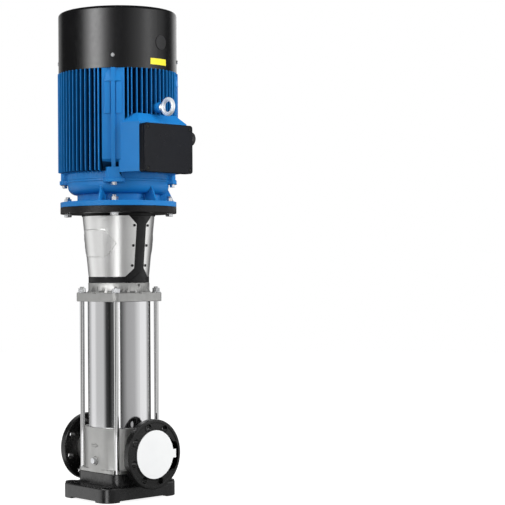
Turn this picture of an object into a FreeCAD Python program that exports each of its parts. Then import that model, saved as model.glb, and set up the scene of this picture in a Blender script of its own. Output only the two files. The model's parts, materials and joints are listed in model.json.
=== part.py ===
import FreeCAD, Part
import math
import operator
import os
from types import SimpleNamespace

import Sketcher
from FreeCAD import Placement, Rotation, Vector

# A vertical multistage pump with its flange-mounted motor. All lengths are in millimetres.
# The vertical axis is the shaft, the origin is where it meets the floor, and +X points out
# of the outlet port. Tie rods, flange bolts and motor ears stand at 45 degrees to the ports.

STAGES = 5
CORNERS = 4
FLANGE_HOLES = 8

SIZES = {
    # Fits and gaps
    "fit_gap": 0.05,
    "seat_gap": 0.2,
    "running_gap": 0.3,
    "bolt_gap": 0.5,
    # Base casting
    "base_length": 248,
    "base_width": 331,
    "base_thickness": 50,
    "base_corner": 42,
    "base_edge": 5,
    "foot_length": 60,
    "foot_relief": 5,
    "base_hollow_radius": 78,
    "base_hollow_depth": 38,
    "foundation_spacing_x": 190,
    "foundation_spacing_y": 266,
    "foundation_hole_radius": 7,
    "foundation_boss_radius": 25,
    "foundation_boss_height": 4,
    "pedestal_width": 220,
    "pedestal_height": 40,
    "pedestal_corner": 40,
    # Port casting
    "chamber_width": 222,
    "chamber_height": 153,
    "chamber_corner": 91,
    "chamber_sole_height": 12,
    "chamber_floor": 14,
    "port_height": 68,
    "port_bore_radius": 50,
    "port_neck_radius": 62,
    "port_reach": 182.5,
    "stub_collar_radius": 81,
    "stub_collar_thickness": 8.5,
    "suction_radius": 78,
    "suction_wall": 8,
    "discharge_radius": 101,
    "discharge_depth": 29,
    "discharge_angle": 120,
    "spigot_height": 8,
    "ring_groove_height": 3,
    "ring_section_radius": 1.35,
    "drain_boss_radius": 15,
    "drain_boss_height": 3,
    "drain_height": 40,
    "drain_thread_radius": 6.5,
    "arrow_height": 92,
    "arrow_length": 34,
    "arrow_width": 14,
    "arrow_relief": 1.5,
    # Loose flanges and their covers
    "flange_radius": 117.5,
    "flange_thickness": 25,
    "flange_step": 1.5,
    "flange_bolt_circle": 190,
    "flange_hole_radius": 11,
    "flange_turn": 16,
    "flange_boss_radius": 15,
    "flange_recess_inner": 86,
    "flange_recess_outer": 106,
    "flange_recess_depth": 2.5,
    "flange_edge": 2,
    "cover_disc_radius": 81.5,
    "cover_disc_thickness": 1.2,
    "tab_reach": 94,
    "tab_low": 17,
    "tab_high": 12,
    # Sleeve, rods and stages
    "sleeve_radius": 108,
    "sleeve_wall": 3,
    "rod_circle_radius": 128,
    "rod_radius": 8,
    "rod_socket_depth": 28,
    "rod_stub": 4.5,
    "rod_nut_flats": 24,
    "rod_nut_height": 13,
    "rod_washer_radius": 15,
    "rod_washer_thickness": 2.5,
    "stage_pitch": 80,
    "stage_radius": 95,
    "stage_wall": 3,
    "clamp_ring_height": 27.5,
    "clamp_ring_width": 9,
    "diffuser_plate_height": 44,
    "diffuser_plate_radius": 84,
    "diffuser_vane_count": 6,
    "diffuser_vane_inner": 48,
    "diffuser_vane_curve": 62,
    "diffuser_vane_offset": 40,
    "bush_radius": 27,
    "bush_height": 12,
    # Impellers
    "impeller_radius": 82,
    "impeller_eye_radius": 44,
    "impeller_wall": 3,
    "impeller_outlet_low": 25,
    "impeller_outlet_high": 36,
    "impeller_blade_count": 6,
    "impeller_blade_inner": 40,
    "impeller_blade_curve": 76,
    "impeller_blade_offset": 44,
    "impeller_neck_drop": 2,
    "impeller_neck_height": 14,
    "impeller_hub_radius": 22,
    # Pump shaft and seal
    "pump_shaft_radius": 16,
    "pump_shaft_drop": 8,
    "seal_ring_radius": 23,
    "seal_ring_length": 22,
    "seal_seat_height": 10,
    "seal_bore_radius": 17.5,
    "carrier_radius": 58,
    "carrier_thickness": 10,
    # Pump head
    "head_width": 218,
    "head_corner": 18.5,
    "head_flange_thickness": 30,
    "head_neck_radius": 105.5,
    "head_neck_height": 34.5,
    "head_flare": 4,
    "head_dome_radius": 84,
    "head_dome_depth": 14,
    "seal_chamber_radius": 40,
    "head_top_wall": 13,
    "head_hole_radius": 26,
    "gauge_hole_radius": 3.5,
    "gauge_hole_depth": 9,
    "gauge_hole_rise": 26,
    "vent_rise": 21,
    "vent_thread_radius": 7,
    "vent_thread_length": 12,
    "vent_head_flats": 19,
    "vent_head_height": 9,
    # Motor stool and coupling guards
    "stool_ring_height": 20,
    "stool_ring_radius": 104.5,
    "stool_ring_bore": 66,
    "stool_cone_height": 207,
    "stool_cone_spread": 20,
    "stool_wall": 9,
    "stool_band_height": 2,
    "stool_band_width": 42,
    "stool_column_width": 84,
    "stool_gusset": 29,
    "stool_window_sill": 8,
    "stool_neck_height": 9,
    "stool_neck_radius": 127,
    "stool_plate_thickness": 22,
    "stool_bore_radius": 112,
    "stool_mark_height": 34,
    "stool_mark_width": 84,
    "stool_mark_relief": 3,
    "stool_screw_circle_radius": 85,
    "stool_screw_radius": 5,
    "guard_sheet": 1.5,
    "guard_panel_relief": 1.2,
    "guard_panel_width": 166,
    "guard_panel_height": 92,
    "guard_panel_point": 30,
    "guard_panel_rise": 68,
    "guard_screw_inset": 8,
    "guard_screw_low": 38,
    "guard_screw_step": 68,
    "guard_screw_radius": 2.5,
    "guard_screw_head_radius": 4.5,
    "guard_screw_head_height": 2.5,
    # Coupling
    "coupling_radius": 50,
    "coupling_length": 130,
    "coupling_split": 2,
    "coupling_grip": 52,
    "coupling_bolt_reach": 38,
    "coupling_bolt_radius": 5,
    "coupling_bolt_inset": 26,
    # Motor flange end
    "motor_flange_radius": 200,
    "motor_flange_thickness": 18,
    "motor_bolt_circle": 350,
    "motor_bolt_radius": 8,
    "motor_bolt_head_flats": 24,
    "motor_bolt_head_height": 10,
    "motor_bolt_end": 6,
    "motor_spigot_radius": 150,
    "motor_spigot_height": 5,
    "shield_neck_radius": 141.5,
    "shield_neck_height": 25,
    "shield_bowl_radius": 174,
    "shield_bowl_height": 41,
    "shield_bowl_round": 30,
    "shield_rim_height": 8,
    "shield_rib_thickness": 8,
    "shield_rib_foot": 196,
    "shield_rib_height": 53,
    "shield_rib_spacing": 60,
    "shield_rib_count": 5,
    "shield_ear_radius": 201,
    "shield_ear_width": 70,
    "shield_ear_height": 14,
    "ear_bolt_radius": 5,
    "ear_bolt_circle_radius": 186,
    "ear_bolt_head_flats": 17,
    "ear_bolt_head_height": 10,
    "ear_bolt_length": 40,
    # Motor frame
    "collar_radius": 177,
    "collar_height": 26,
    "frame_radius": 168,
    "frame_bore_radius": 157,
    "frame_length": 365,
    "fin_tip_radius": 208.5,
    "fin_root_thickness": 5.5,
    "fin_tip_thickness": 3,
    "fin_slope": 8,
    "fin_spacing": 5,
    "fins_per_quarter": 12,
    "side_fin_angle": 14,
    "ear_radius": 197,
    "ear_width": 58,
    "ear_height": 36,
    "pad_width": 76,
    "pad_radius": 200,
    "pad_foot_rise": 62,
    "ridge_width": 14,
    "ridge_radius": 207,
    "panel_width": 20,
    "panel_height": 106,
    "panel_relief": 3,
    "panel_rise": 213,
    "panel_gap": 4,
    "saddle_reach": 232,
    "saddle_root": 150,
    "saddle_root_width": 252,
    "saddle_rise": 18,
    "saddle_height": 195,
    "saddle_slope": 30,
    "entry_boss_radius": 30,
    "entry_boss_reach": 127,
    "entry_rise": 138,
    "entry_setback": 31,
    "eye_boss_radius": 18,
    "eye_boss_reach": 226,
    "eye_rise": 234,
    # Terminal box
    "box_width": 214,
    "box_height": 162,
    "box_depth": 18,
    "box_wall": 4,
    "box_corner": 10,
    "box_rise": 14,
    "lid_thickness": 12,
    "lid_edge": 3,
    "lid_screw_inset": 13,
    "lid_screw_radius": 3,
    "lid_screw_head_radius": 5,
    "lid_screw_sink": 4,
    "board_width": 90,
    "board_height": 60,
    "board_thickness": 10,
    "plug_radius": 28,
    "plug_collar": 10,
    "plug_cap_radius": 24,
    "plug_length": 29,
    "plug_thread_radius": 19,
    "plug_thread_length": 14,
    # Eyebolt
    "eye_shank_radius": 8,
    "eye_shank_length": 16,
    "eye_collar_radius": 12.5,
    "eye_collar_thickness": 6,
    "eye_centre_reach": 30.5,
    "eye_ring_radius": 24.5,
    "eye_section_radius": 7,
    # Motor shaft, bearings, core and fan
    "motor_shaft_radius": 27.5,
    "motor_shaft_length": 110,
    "bearing_bore_radius": 30,
    "bearing_radius": 65,
    "bearing_width": 31,
    "bearing_split_radius": 50,
    "bearing_rise": 25,
    "bearing_cup_wall": 12,
    "shaft_hole_radius": 32,
    "core_shaft_radius": 36,
    "core_rise": 122,
    "core_length": 230,
    "air_gap": 0.5,
    "rotor_radius": 99.5,
    "winding_inner": 106,
    "winding_outer": 147,
    "winding_overhang": 28,
    "rear_plate_thickness": 10,
    "rear_hub_height": 40,
    "cover_lug_height": 50,
    "cover_lug_width": 24,
    "fan_rise": 50,
    "fan_radius": 150,
    "fan_height": 52,
    "fan_plate": 4,
    "fan_hub_radius": 42,
    "fan_blade_count": 7,
    "fan_shaft_radius": 25,
    # Fan cover
    "fan_cover_radius": 204,
    "fan_cover_height": 207,
    "fan_cover_wall": 2,
    "fan_cover_round": 10,
    "inlet_slot_width": 9,
    "inlet_inner_start": 42,
    "inlet_inner_end": 92,
    "inlet_outer_start": 102,
    "inlet_outer_end": 152,
    "inlet_inner_count": 16,
    "inlet_outer_count": 32,
    "cover_screw_rise": 41,
    "cover_screw_radius": 3,
    "cover_screw_head_radius": 6,
    "cover_screw_head_height": 3,
    "cover_plug_radius": 24,
    "cover_plug_rise": 90,
    "cover_plug_turn": 5,
    "cover_plug_thickness": 2,
}


class Size:
    """A number from the sheet, or a sum or product of such numbers, with its expression."""

    def __init__(self, value, text):
        self.value = float(value)
        self.text = text

    def __add__(self, other):
        return combined(self, other, operator.add, "+")

    def __radd__(self, other):
        return combined(other, self, operator.add, "+")

    def __sub__(self, other):
        return combined(self, other, operator.sub, "-")

    def __rsub__(self, other):
        return combined(other, self, operator.sub, "-")

    def __mul__(self, other):
        return combined(self, other, operator.mul, "*")

    def __rmul__(self, other):
        return combined(other, self, operator.mul, "*")

    def __truediv__(self, other):
        return combined(self, other, operator.truediv, "/")

    def __neg__(self):
        return combined(0, self, operator.sub, "-")


def as_size(number):
    if isinstance(number, Size):
        return number
    return Size(number, repr(number))


def combined(left, right, action, sign):
    left = as_size(left)
    right = as_size(right)
    return Size(action(left.value, right.value), f"({left.text} {sign} {right.text})")


def arcsine(number):
    """The angle in degrees whose sine is this number."""
    return Size(math.degrees(math.asin(number.value)), f"asin({number.text}) / 1 deg")


doc = FreeCAD.newDocument("multistage_pump")
sheet = doc.addObject("Spreadsheet::Sheet", "Sizes")
for row, (name, number) in enumerate(SIZES.items(), start=1):
    sheet.set(f"A{row}", name)
    sheet.set(f"B{row}", str(number))
    sheet.setAlias(f"B{row}", name)
doc.recompute()
v = SimpleNamespace(**{name: Size(number, f"Sizes.{name}") for name, number in SIZES.items()})
NOTHING = Size(0, "0")
PAIR = Size(2, "2")
DIAGONAL = Size(45, "45")

# Shares of a screw or coupling that small hidden fasteners follow
HEAD_SPREAD = 1.6
BOLT_SHARE = 0.62

# Levels of the seats between the main pieces, from the floor up
chamber_level = v.base_thickness + v.pedestal_height
port_level = chamber_level + v.port_height
sleeve_level = chamber_level + v.chamber_height
sleeve_length = v.stage_pitch * STAGES + v.clamp_ring_height
head_level = sleeve_level + sleeve_length
neck_level = head_level + v.head_flange_thickness
stool_level = neck_level + v.head_neck_height
cone_level = stool_level + v.stool_ring_height
cone_top = cone_level + v.stool_cone_height
plate_level = cone_top + v.stool_neck_height
motor_level = plate_level + v.stool_plate_thickness
bowl_level = motor_level + v.motor_flange_thickness + v.shield_neck_height
frame_level = bowl_level + v.shield_bowl_height + v.shield_rim_height
frame_top = frame_level + v.frame_length
cover_top = frame_top + v.fan_cover_height
core_level = motor_level + v.core_rise
lower_bearing_level = motor_level + v.bearing_rise
upper_bearing_level = frame_top + v.fit_gap
saddle_level = frame_level + v.saddle_rise
box_level = frame_level + v.box_rise
sleeve_bore = v.sleeve_radius - v.sleeve_wall
spigot_radius = sleeve_bore - v.running_gap
ring_groove_radius = sleeve_bore - v.ring_section_radius * 2 - v.fit_gap * 2
cone_foot_radius = v.stool_ring_radius
cone_head_radius = v.stool_ring_radius + v.stool_cone_spread

finished = []


def bind(thing, name, number):
    """Tie one property of an object to its formula."""
    thing.setExpression(name, as_size(number).text)


def keep(thing, label):
    """Name an object as a finished sub-part."""
    thing.Label = label
    finished.append(thing)
    return thing


def new_body(name):
    return doc.addObject("PartDesign::Body", name)


def origin_part(body, role):
    return next(part for part in body.Origin.OriginFeatures if part.Role == role)


def new_sketch(body, name, plane="XZ_Plane", lift=0, turn=0):
    """A sketch on one of the body's origin planes, lifted along its normal or turned about
    the vertical."""
    sketch = body.newObject("Sketcher::SketchObject", name)
    sketch.AttachmentSupport = [(origin_part(body, plane), "")]
    sketch.MapMode = "FlatFace"
    axis = Vector(0, 0, 1) if plane == "XY_Plane" else Vector(0, 1, 0)
    degrees = as_size(turn)
    sketch.AttachmentOffset = Placement(Vector(), Rotation(axis, degrees.value))
    if isinstance(lift, Size):
        bind(sketch, ".AttachmentOffset.Base.z", lift)
    if isinstance(turn, Size) and degrees.value >= 0:
        sketch.setExpression(".AttachmentOffset.Rotation.Angle", f"{degrees.text} * 1 deg")
    return sketch


def tie(sketch, kind, places, number):
    """Add one sketch dimension and bind it to its formula."""
    number = as_size(number)
    index = sketch.addConstraint(Sketcher.Constraint(kind, *places, number.value))
    sketch.setExpression(f"Constraints[{index}]", number.text)


def outline(sketch, points):
    """A closed chain of straight lines whose corners are all tied to formulas."""
    first = sketch.GeometryCount
    corners = [Vector(as_size(x).value, as_size(y).value, 0) for x, y in points]
    count = len(corners)
    lines = [Part.LineSegment(corners[i], corners[(i + 1) % count]) for i in range(count)]
    sketch.addGeometry(lines, False)
    joins = [
        Sketcher.Constraint("Coincident", first + i, 2, first + (i + 1) % count, 1)
        for i in range(count)
    ]
    sketch.addConstraint(joins)
    for i, (x, y) in enumerate(points):
        tie(sketch, "DistanceX", (-1, 1, first + i, 1), x)
        tie(sketch, "DistanceY", (-1, 1, first + i, 1), y)
    return sketch


def rectangle(sketch, low_x, high_x, low_y, high_y):
    return outline(sketch, [(low_x, low_y), (high_x, low_y), (high_x, high_y), (low_x, high_y)])


def square(sketch, width):
    return rectangle(sketch, -width / 2, width / 2, -width / 2, width / 2)


def circle(sketch, x, y, radius):
    centre = Vector(as_size(x).value, as_size(y).value, 0)
    index = sketch.addGeometry(Part.Circle(centre, Vector(0, 0, 1), as_size(radius).value))
    tie(sketch, "DistanceX", (-1, 1, index, 3), x)
    tie(sketch, "DistanceY", (-1, 1, index, 3), y)
    tie(sketch, "Radius", (index,), radius)
    return sketch


def curved_vane(sketch, centre_offset, curve_radius, thickness, inner, outer):
    """A blade between two arcs about one centre, from an inner to an outer radius."""
    curves = []
    for curve in (curve_radius, curve_radius + thickness):
        angles = []
        for reach in (outer, inner):
            x = (reach.value**2 + centre_offset.value**2 - curve.value**2) / (2 * centre_offset.value)
            y = math.sqrt(reach.value**2 - x**2)
            angles.append(math.atan2(y, x - centre_offset.value))
        ring = Part.Circle(Vector(centre_offset.value, 0, 0), Vector(0, 0, 1), curve.value)
        index = sketch.addGeometry(Part.ArcOfCircle(ring, *angles))
        tie(sketch, "DistanceX", (-1, 1, index, 3), centre_offset)
        tie(sketch, "DistanceY", (-1, 1, index, 3), 0)
        tie(sketch, "Radius", (index,), curve)
        tie(sketch, "Distance", (-1, 1, index, 1), outer)
        tie(sketch, "Distance", (-1, 1, index, 2), inner)
        curves.append(index)
    for end in (1, 2):
        start = sketch.getPoint(curves[0], end)
        finish = sketch.getPoint(curves[1], end)
        index = sketch.addGeometry(Part.LineSegment(start, finish))
        sketch.addConstraint(Sketcher.Constraint("Coincident", index, 1, curves[0], end))
        sketch.addConstraint(Sketcher.Constraint("Coincident", index, 2, curves[1], end))
    return sketch


def feature(body, kind, sketch):
    made = body.newObject(f"PartDesign::{kind}", f"{body.Name}_{kind}")
    made.Profile = sketch
    body.Tip = made
    return made


def pad(body, sketch, length, both_sides=False, downward=False):
    made = feature(body, "Pad", sketch)
    bind(made, "Length", length)
    made.SideType = "Symmetric" if both_sides else "One side"
    made.Reversed = downward
    return made


def pocket(body, sketch, depth=None, both_sides=False, along_normal=False):
    """Cut a sketch through everything, or to a depth, against or along its normal."""
    made = feature(body, "Pocket", sketch)
    if depth is None:
        made.Type = "ThroughAll"
    else:
        bind(made, "Length", depth)
    made.SideType = "Symmetric" if both_sides else "One side"
    made.Reversed = along_normal
    return made


def revolve(body, sketch):
    made = feature(body, "Revolution", sketch)
    made.ReferenceAxis = (sketch, ["V_Axis"])
    return made


def groove(body, sketch, angle=None):
    made = feature(body, "Groove", sketch)
    made.ReferenceAxis = (sketch, ["V_Axis"])
    if angle is not None:
        bind(made, "Angle", angle)
        made.Midplane = True
    return made


def polar(body, originals, count, angle=360):
    """Repeat features about the vertical axis."""
    made = body.newObject("PartDesign::PolarPattern", f"{body.Name}_Polar")
    made.Originals = originals
    made.Axis = (origin_part(body, "Z_Axis"), [""])
    made.Angle = angle
    if isinstance(count, Size):
        bind(made, "Occurrences", count)
    else:
        made.Occurrences = count
    body.Tip = made
    return made


def ease(body, radius, test, kind="Fillet"):
    """Round or chamfer the edges that a test picks."""
    doc.recompute()
    base = body.Tip
    names = [f"Edge{i}" for i, edge in enumerate(base.Shape.Edges, start=1) if test(edge)]
    if not names:
        raise RuntimeError(f"no edge to ease on {body.Name}")
    made = body.newObject(f"PartDesign::{kind}", f"{body.Name}_{kind}")
    made.Base = (base, names)
    bind(made, "Radius" if kind == "Fillet" else "Size", radius)
    body.Tip = made
    return made


def is_upright(edge):
    return isinstance(edge.Curve, Part.Line) and abs(edge.Curve.Direction.z) > 0.999


def lies_at(edge, level):
    return abs(edge.BoundBox.ZMin - level.value) < 0.01 and abs(edge.BoundBox.ZMax - level.value) < 0.01


def is_ring(edge, radius, level):
    """Whether an edge is a circle about the vertical axis with this radius and level."""
    round_edge = isinstance(edge.Curve, Part.Circle)
    return round_edge and abs(edge.Curve.Radius - radius.value) < 0.01 and lies_at(edge, level)


def turned_body(name, points):
    """A body of revolution about the vertical axis, from its half section."""
    body = new_body(name)
    revolve(body, outline(new_sketch(body, f"{name}_section"), points))
    return body


def tube(name, inner, outer, low, high):
    return turned_body(name, [(inner, low), (outer, low), (outer, high), (inner, high)])


def joined(name, *pieces):
    """Fuse helper bodies into one sub-part."""
    made = doc.addObject("Part::MultiFuse", name)
    made.Shapes = list(pieces)
    return made


def group(label, solids):
    """Identical separate solids that share one sub-part."""
    made = doc.addObject("Part::Feature", label)
    made.Shape = Part.makeCompound(solids)
    return keep(made, label)


def hexagon(flats, height, bore=0):
    """A hexagonal prism on the floor plane, bored through where a bore is given."""
    reach = flats.value / math.sqrt(3)
    corners = [
        Vector(reach * math.cos(math.radians(60 * i)), reach * math.sin(math.radians(60 * i)), 0)
        for i in range(7)
    ]
    prism = Part.Face(Part.makePolygon(corners)).extrude(Vector(0, 0, height.value))
    if not bore:
        return prism
    return prism.cut(Part.makeCylinder(bore.value, height.value))


def rod(radius, low, high):
    """A round bar about the vertical axis between two levels."""
    low = as_size(low).value
    return Part.makeCylinder(radius.value, as_size(high).value - low, Vector(0, 0, low))


def placed(shape, x, y, z, rotation=Rotation()):
    copy = shape.copy()
    copy.Placement = Placement(Vector(*(as_size(n).value for n in (x, y, z))), rotation)
    return copy


def around(shape, radius, level, start=45, count=CORNERS):
    """Copies of an upright shape on a circle about the vertical axis."""
    copies = []
    for i in range(count):
        turn = Rotation(Vector(0, 0, 1), start + i * 360 / count)
        spot = turn.multVec(Vector(radius.value, 0, level.value))
        copies.append(placed(shape, spot.x, spot.y, spot.z, turn))
    return copies


def outward(degrees, dip=0):
    """The turn that lays an upright shape down so that its top points out at an angle."""
    return Rotation(Vector(0, 0, 1), degrees) * Rotation(Vector(0, 1, 0), 90 + dip)


def base_plate():
    body = new_body("base")
    plan = new_sketch(body, "base_plan", "XY_Plane")
    half_x = v.base_length / 2
    half_y = v.base_width / 2
    pad(body, rectangle(plan, -half_x, half_x, -half_y, half_y), v.base_thickness)
    ease(body, v.base_corner, is_upright)
    ease(body, v.base_edge, lambda edge: lies_at(edge, v.base_thickness))
    pedestal = square(new_sketch(body, "pedestal_plan", "XY_Plane", v.base_thickness), v.pedestal_width)
    pad(body, pedestal, v.pedestal_height)
    ease(body, v.pedestal_corner, lambda edge: is_upright(edge) and edge.BoundBox.ZMax > chamber_level.value - 1)
    across = rectangle(new_sketch(body, "relief_x", "XY_Plane"), -half_x, half_x,
                       v.foot_length - half_y, half_y - v.foot_length)
    pocket(body, across, v.foot_relief, along_normal=True)
    along = rectangle(new_sketch(body, "relief_y", "XY_Plane"), v.foot_length - half_x,
                      half_x - v.foot_length, -half_y, half_y)
    pocket(body, along, v.foot_relief, along_normal=True)
    hollow = circle(new_sketch(body, "hollow_plan", "XY_Plane"), 0, 0, v.base_hollow_radius)
    pocket(body, hollow, v.base_hollow_depth, along_normal=True)
    spots = [(sx * v.foundation_spacing_x / 2, sy * v.foundation_spacing_y / 2)
             for sx in (-1, 1) for sy in (-1, 1)]
    bosses = new_sketch(body, "boss_plan", "XY_Plane", v.base_thickness)
    holes = new_sketch(body, "hole_plan", "XY_Plane")
    for x, y in spots:
        circle(bosses, x, y, v.foundation_boss_radius)
        circle(holes, x, y, v.foundation_hole_radius)
    pad(body, bosses, v.foundation_boss_height)
    pocket(body, holes, along_normal=True)
    socket = circle(new_sketch(body, "socket_plan", "XY_Plane", chamber_level, 45),
                    v.rod_circle_radius, 0, v.rod_radius + v.fit_gap)
    polar(body, [pocket(body, socket, v.rod_socket_depth)], CORNERS)
    keep(body, "base_plate")


def pump_chamber():
    """The port casting: a suction cup in the middle, a discharge ring round it, two stubs."""
    body = new_body("chamber")
    pad(body, square(new_sketch(body, "chamber_plan", "XY_Plane", chamber_level), v.chamber_width),
        v.chamber_height)
    ease(body, v.chamber_corner, is_upright)
    sole = square(new_sketch(body, "sole_plan", "XY_Plane", chamber_level), v.pedestal_width)
    pad(body, sole, v.chamber_sole_height)
    sole_top = chamber_level.value + v.chamber_sole_height.value
    ease(body, v.pedestal_corner, lambda edge: is_upright(edge) and abs(edge.BoundBox.ZMax - sole_top) < 0.1)
    notch = rectangle(new_sketch(body, "notch_plan", "XY_Plane", chamber_level, 45),
                      v.rod_circle_radius - v.rod_radius - v.bolt_gap, v.pedestal_width,
                      -v.rod_radius - v.bolt_gap, v.rod_radius + v.bolt_gap)
    polar(body, [pocket(body, notch, v.chamber_sole_height, along_normal=True)], CORNERS)
    neck = circle(new_sketch(body, "neck_plan", "YZ_Plane"), 0, port_level, v.port_neck_radius)
    pad(body, neck, v.port_reach * 2, both_sides=True)
    for side, reach in (("outlet", v.port_reach - v.stub_collar_thickness), ("inlet", -v.port_reach)):
        collar = circle(new_sketch(body, f"{side}_collar", "YZ_Plane", reach), 0, port_level,
                        v.stub_collar_radius)
        pad(body, collar, v.stub_collar_thickness)
    spigot = new_sketch(body, "spigot_section")
    revolve(body, rectangle(spigot, v.discharge_radius, spigot_radius, sleeve_level - 1,
                            sleeve_level + v.spigot_height))
    ring = new_sketch(body, "ring_groove")
    groove_low = sleeve_level + v.spigot_height / 2 - v.ring_groove_height / 2
    groove(body, rectangle(ring, ring_groove_radius, sleeve_bore,
                           groove_low, groove_low + v.ring_groove_height))
    floor = chamber_level + v.chamber_floor
    cup = new_sketch(body, "suction_section")
    groove(body, rectangle(cup, 0, v.suction_radius, floor, sleeve_level + 1))
    wall = v.suction_radius + v.suction_wall
    over = sleeve_level + v.spigot_height + 1
    ring_top = new_sketch(body, "discharge_section")
    groove(body, rectangle(ring_top, wall, v.discharge_radius, sleeve_level - v.discharge_depth, over))
    ring_side = new_sketch(body, "discharge_side")
    groove(body, rectangle(ring_side, wall, v.discharge_radius, floor, over), v.discharge_angle)
    top_trim = new_sketch(body, "suction_rim_trim")
    groove(body, rectangle(top_trim, 0, wall + 1, sleeve_level, over))
    outlet = circle(new_sketch(body, "outlet_bore", "YZ_Plane", v.port_reach), 0, port_level,
                    v.port_bore_radius)
    pocket(body, outlet, v.port_reach - wall - v.suction_wall)
    inlet = circle(new_sketch(body, "inlet_bore", "YZ_Plane", -v.port_reach), 0, port_level,
                   v.port_bore_radius)
    pocket(body, inlet, v.port_reach - v.suction_radius / 2, along_normal=True)
    drain_level = chamber_level + v.drain_height
    face = v.chamber_width / 2
    boss = circle(new_sketch(body, "drain_boss", "XZ_Plane", face - 1), 0, drain_level,
                  v.drain_boss_radius)
    pad(body, boss, v.drain_boss_height + 1)
    thread = circle(new_sketch(body, "drain_hole", "XZ_Plane", face + v.drain_boss_height), 0,
                    drain_level, v.drain_thread_radius + v.fit_gap)
    pocket(body, thread, v.drain_boss_height + v.suction_wall)
    arrow_level = chamber_level + v.arrow_height
    arrow = new_sketch(body, "flow_arrow", "XZ_Plane", face - 1)
    tip = v.arrow_length / 2
    stem = v.arrow_width / 4
    neck_x = tip - v.arrow_width
    outline(arrow, [
        (-tip, arrow_level - stem), (neck_x, arrow_level - stem),
        (neck_x, arrow_level - v.arrow_width / 2), (tip, arrow_level),
        (neck_x, arrow_level + v.arrow_width / 2), (neck_x, arrow_level + stem),
        (-tip, arrow_level + stem),
    ])
    pad(body, arrow, v.arrow_relief + 1)
    keep(body, "pump_chamber")


def drain_plug():
    level = chamber_level + v.drain_height
    face = v.chamber_width / 2 + v.drain_boss_height
    thread = rod(v.drain_thread_radius, -(v.drain_boss_height + v.suction_wall - 1), 0)
    head = hexagon(v.vent_head_flats, v.vent_head_height)
    group("drain_plug", [placed(thread.fuse(head), 0, -face, level, outward(-90))])


def port_flange(label, direction, turn):
    """A loose flange that turns on the stub, with a ring of raised bolt bosses on its face."""
    body = new_body(label)
    recess = v.stub_collar_thickness - v.flange_step
    collar_clear = v.stub_collar_radius + v.running_gap
    bore = v.port_neck_radius + v.fit_gap * 2
    section = new_sketch(body, f"{label}_section")
    revolve(body, rectangle(section, bore, v.flange_radius, 0, v.flange_thickness))
    ease(body, v.flange_edge, lambda edge: is_ring(edge, v.flange_radius, v.flange_thickness)
         or is_ring(edge, v.flange_radius, NOTHING), "Chamfer")
    face_ring = new_sketch(body, f"{label}_face_ring")
    groove(body, rectangle(face_ring, v.flange_recess_inner, v.flange_recess_outer,
                           v.flange_thickness - v.flange_recess_depth, v.flange_thickness + 1))
    boss = circle(new_sketch(body, f"{label}_boss", "XY_Plane", v.flange_thickness, turn),
                  v.flange_bolt_circle / 2, 0, v.flange_boss_radius)
    hole = circle(new_sketch(body, f"{label}_hole", "XY_Plane", v.flange_thickness, turn),
                  v.flange_bolt_circle / 2, 0, v.flange_hole_radius)
    polar(body, [pad(body, boss, v.flange_recess_depth + 1, downward=True)], FLANGE_HOLES)
    polar(body, [pocket(body, hole)], FLANGE_HOLES)
    counterbore = new_sketch(body, f"{label}_counterbore")
    groove(body, rectangle(counterbore, bore - 1, collar_clear,
                           v.flange_thickness - recess - v.running_gap, v.flange_thickness + 1))
    face = v.port_reach - v.flange_step - v.flange_thickness
    body.Placement = Placement(Vector(0, 0, 0), Rotation(Vector(0, 1, 0), 90 * direction))
    bind(body, ".Placement.Base.x", face * direction)
    bind(body, ".Placement.Base.z", port_level)
    keep(body, label)


def port_covers():
    """Stick-on covers over the port faces, each with a pull tab."""
    disc = rod(v.cover_disc_radius, 0, v.cover_disc_thickness)
    covers = []
    for direction in (1, -1):
        low = -v.tab_low if direction == 1 else -v.tab_high
        tab = Part.makeBox(v.tab_low.value + v.tab_high.value, v.tab_reach.value,
                           v.cover_disc_thickness.value)
        tab.translate(Vector(-v.tab_low.value - v.tab_high.value - low.value, 0, 0))
        cover = disc.fuse(tab).removeSplitter()
        turn = Rotation(Vector(0, 1, 0), 90 * direction)
        covers.append(placed(cover, v.port_reach * direction, 0, port_level, turn))
    group("port_covers", covers)


def sleeve_and_seals():
    keep(tube("sleeve", sleeve_bore, v.sleeve_radius, sleeve_level, head_level), "outer_sleeve")
    section = v.ring_section_radius
    centre = sleeve_bore - section - v.fit_gap
    rise = v.spigot_height / 2
    rings = [Part.makeTorus(centre.value, section.value, Vector(0, 0, level.value))
             for level in (sleeve_level + rise, head_level - rise)]
    group("sleeve_o_rings", rings)


def tie_rods():
    seat = neck_level + v.rod_washer_thickness
    bottom = chamber_level - v.rod_socket_depth
    bar = rod(v.rod_radius, 0, seat + v.rod_nut_height + v.rod_stub - bottom)
    nut = hexagon(v.rod_nut_flats, v.rod_nut_height, v.rod_radius + v.fit_gap)
    washer = rod(v.rod_washer_radius, 0, v.rod_washer_thickness).cut(
        rod(v.rod_radius + v.fit_gap, 0, v.rod_washer_thickness))
    group("tie_rods", around(bar, v.rod_circle_radius, bottom))
    group("tie_rod_nuts", around(nut, v.rod_circle_radius, seat))
    group("tie_rod_washers", around(washer, v.rod_circle_radius, neck_level))


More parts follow.
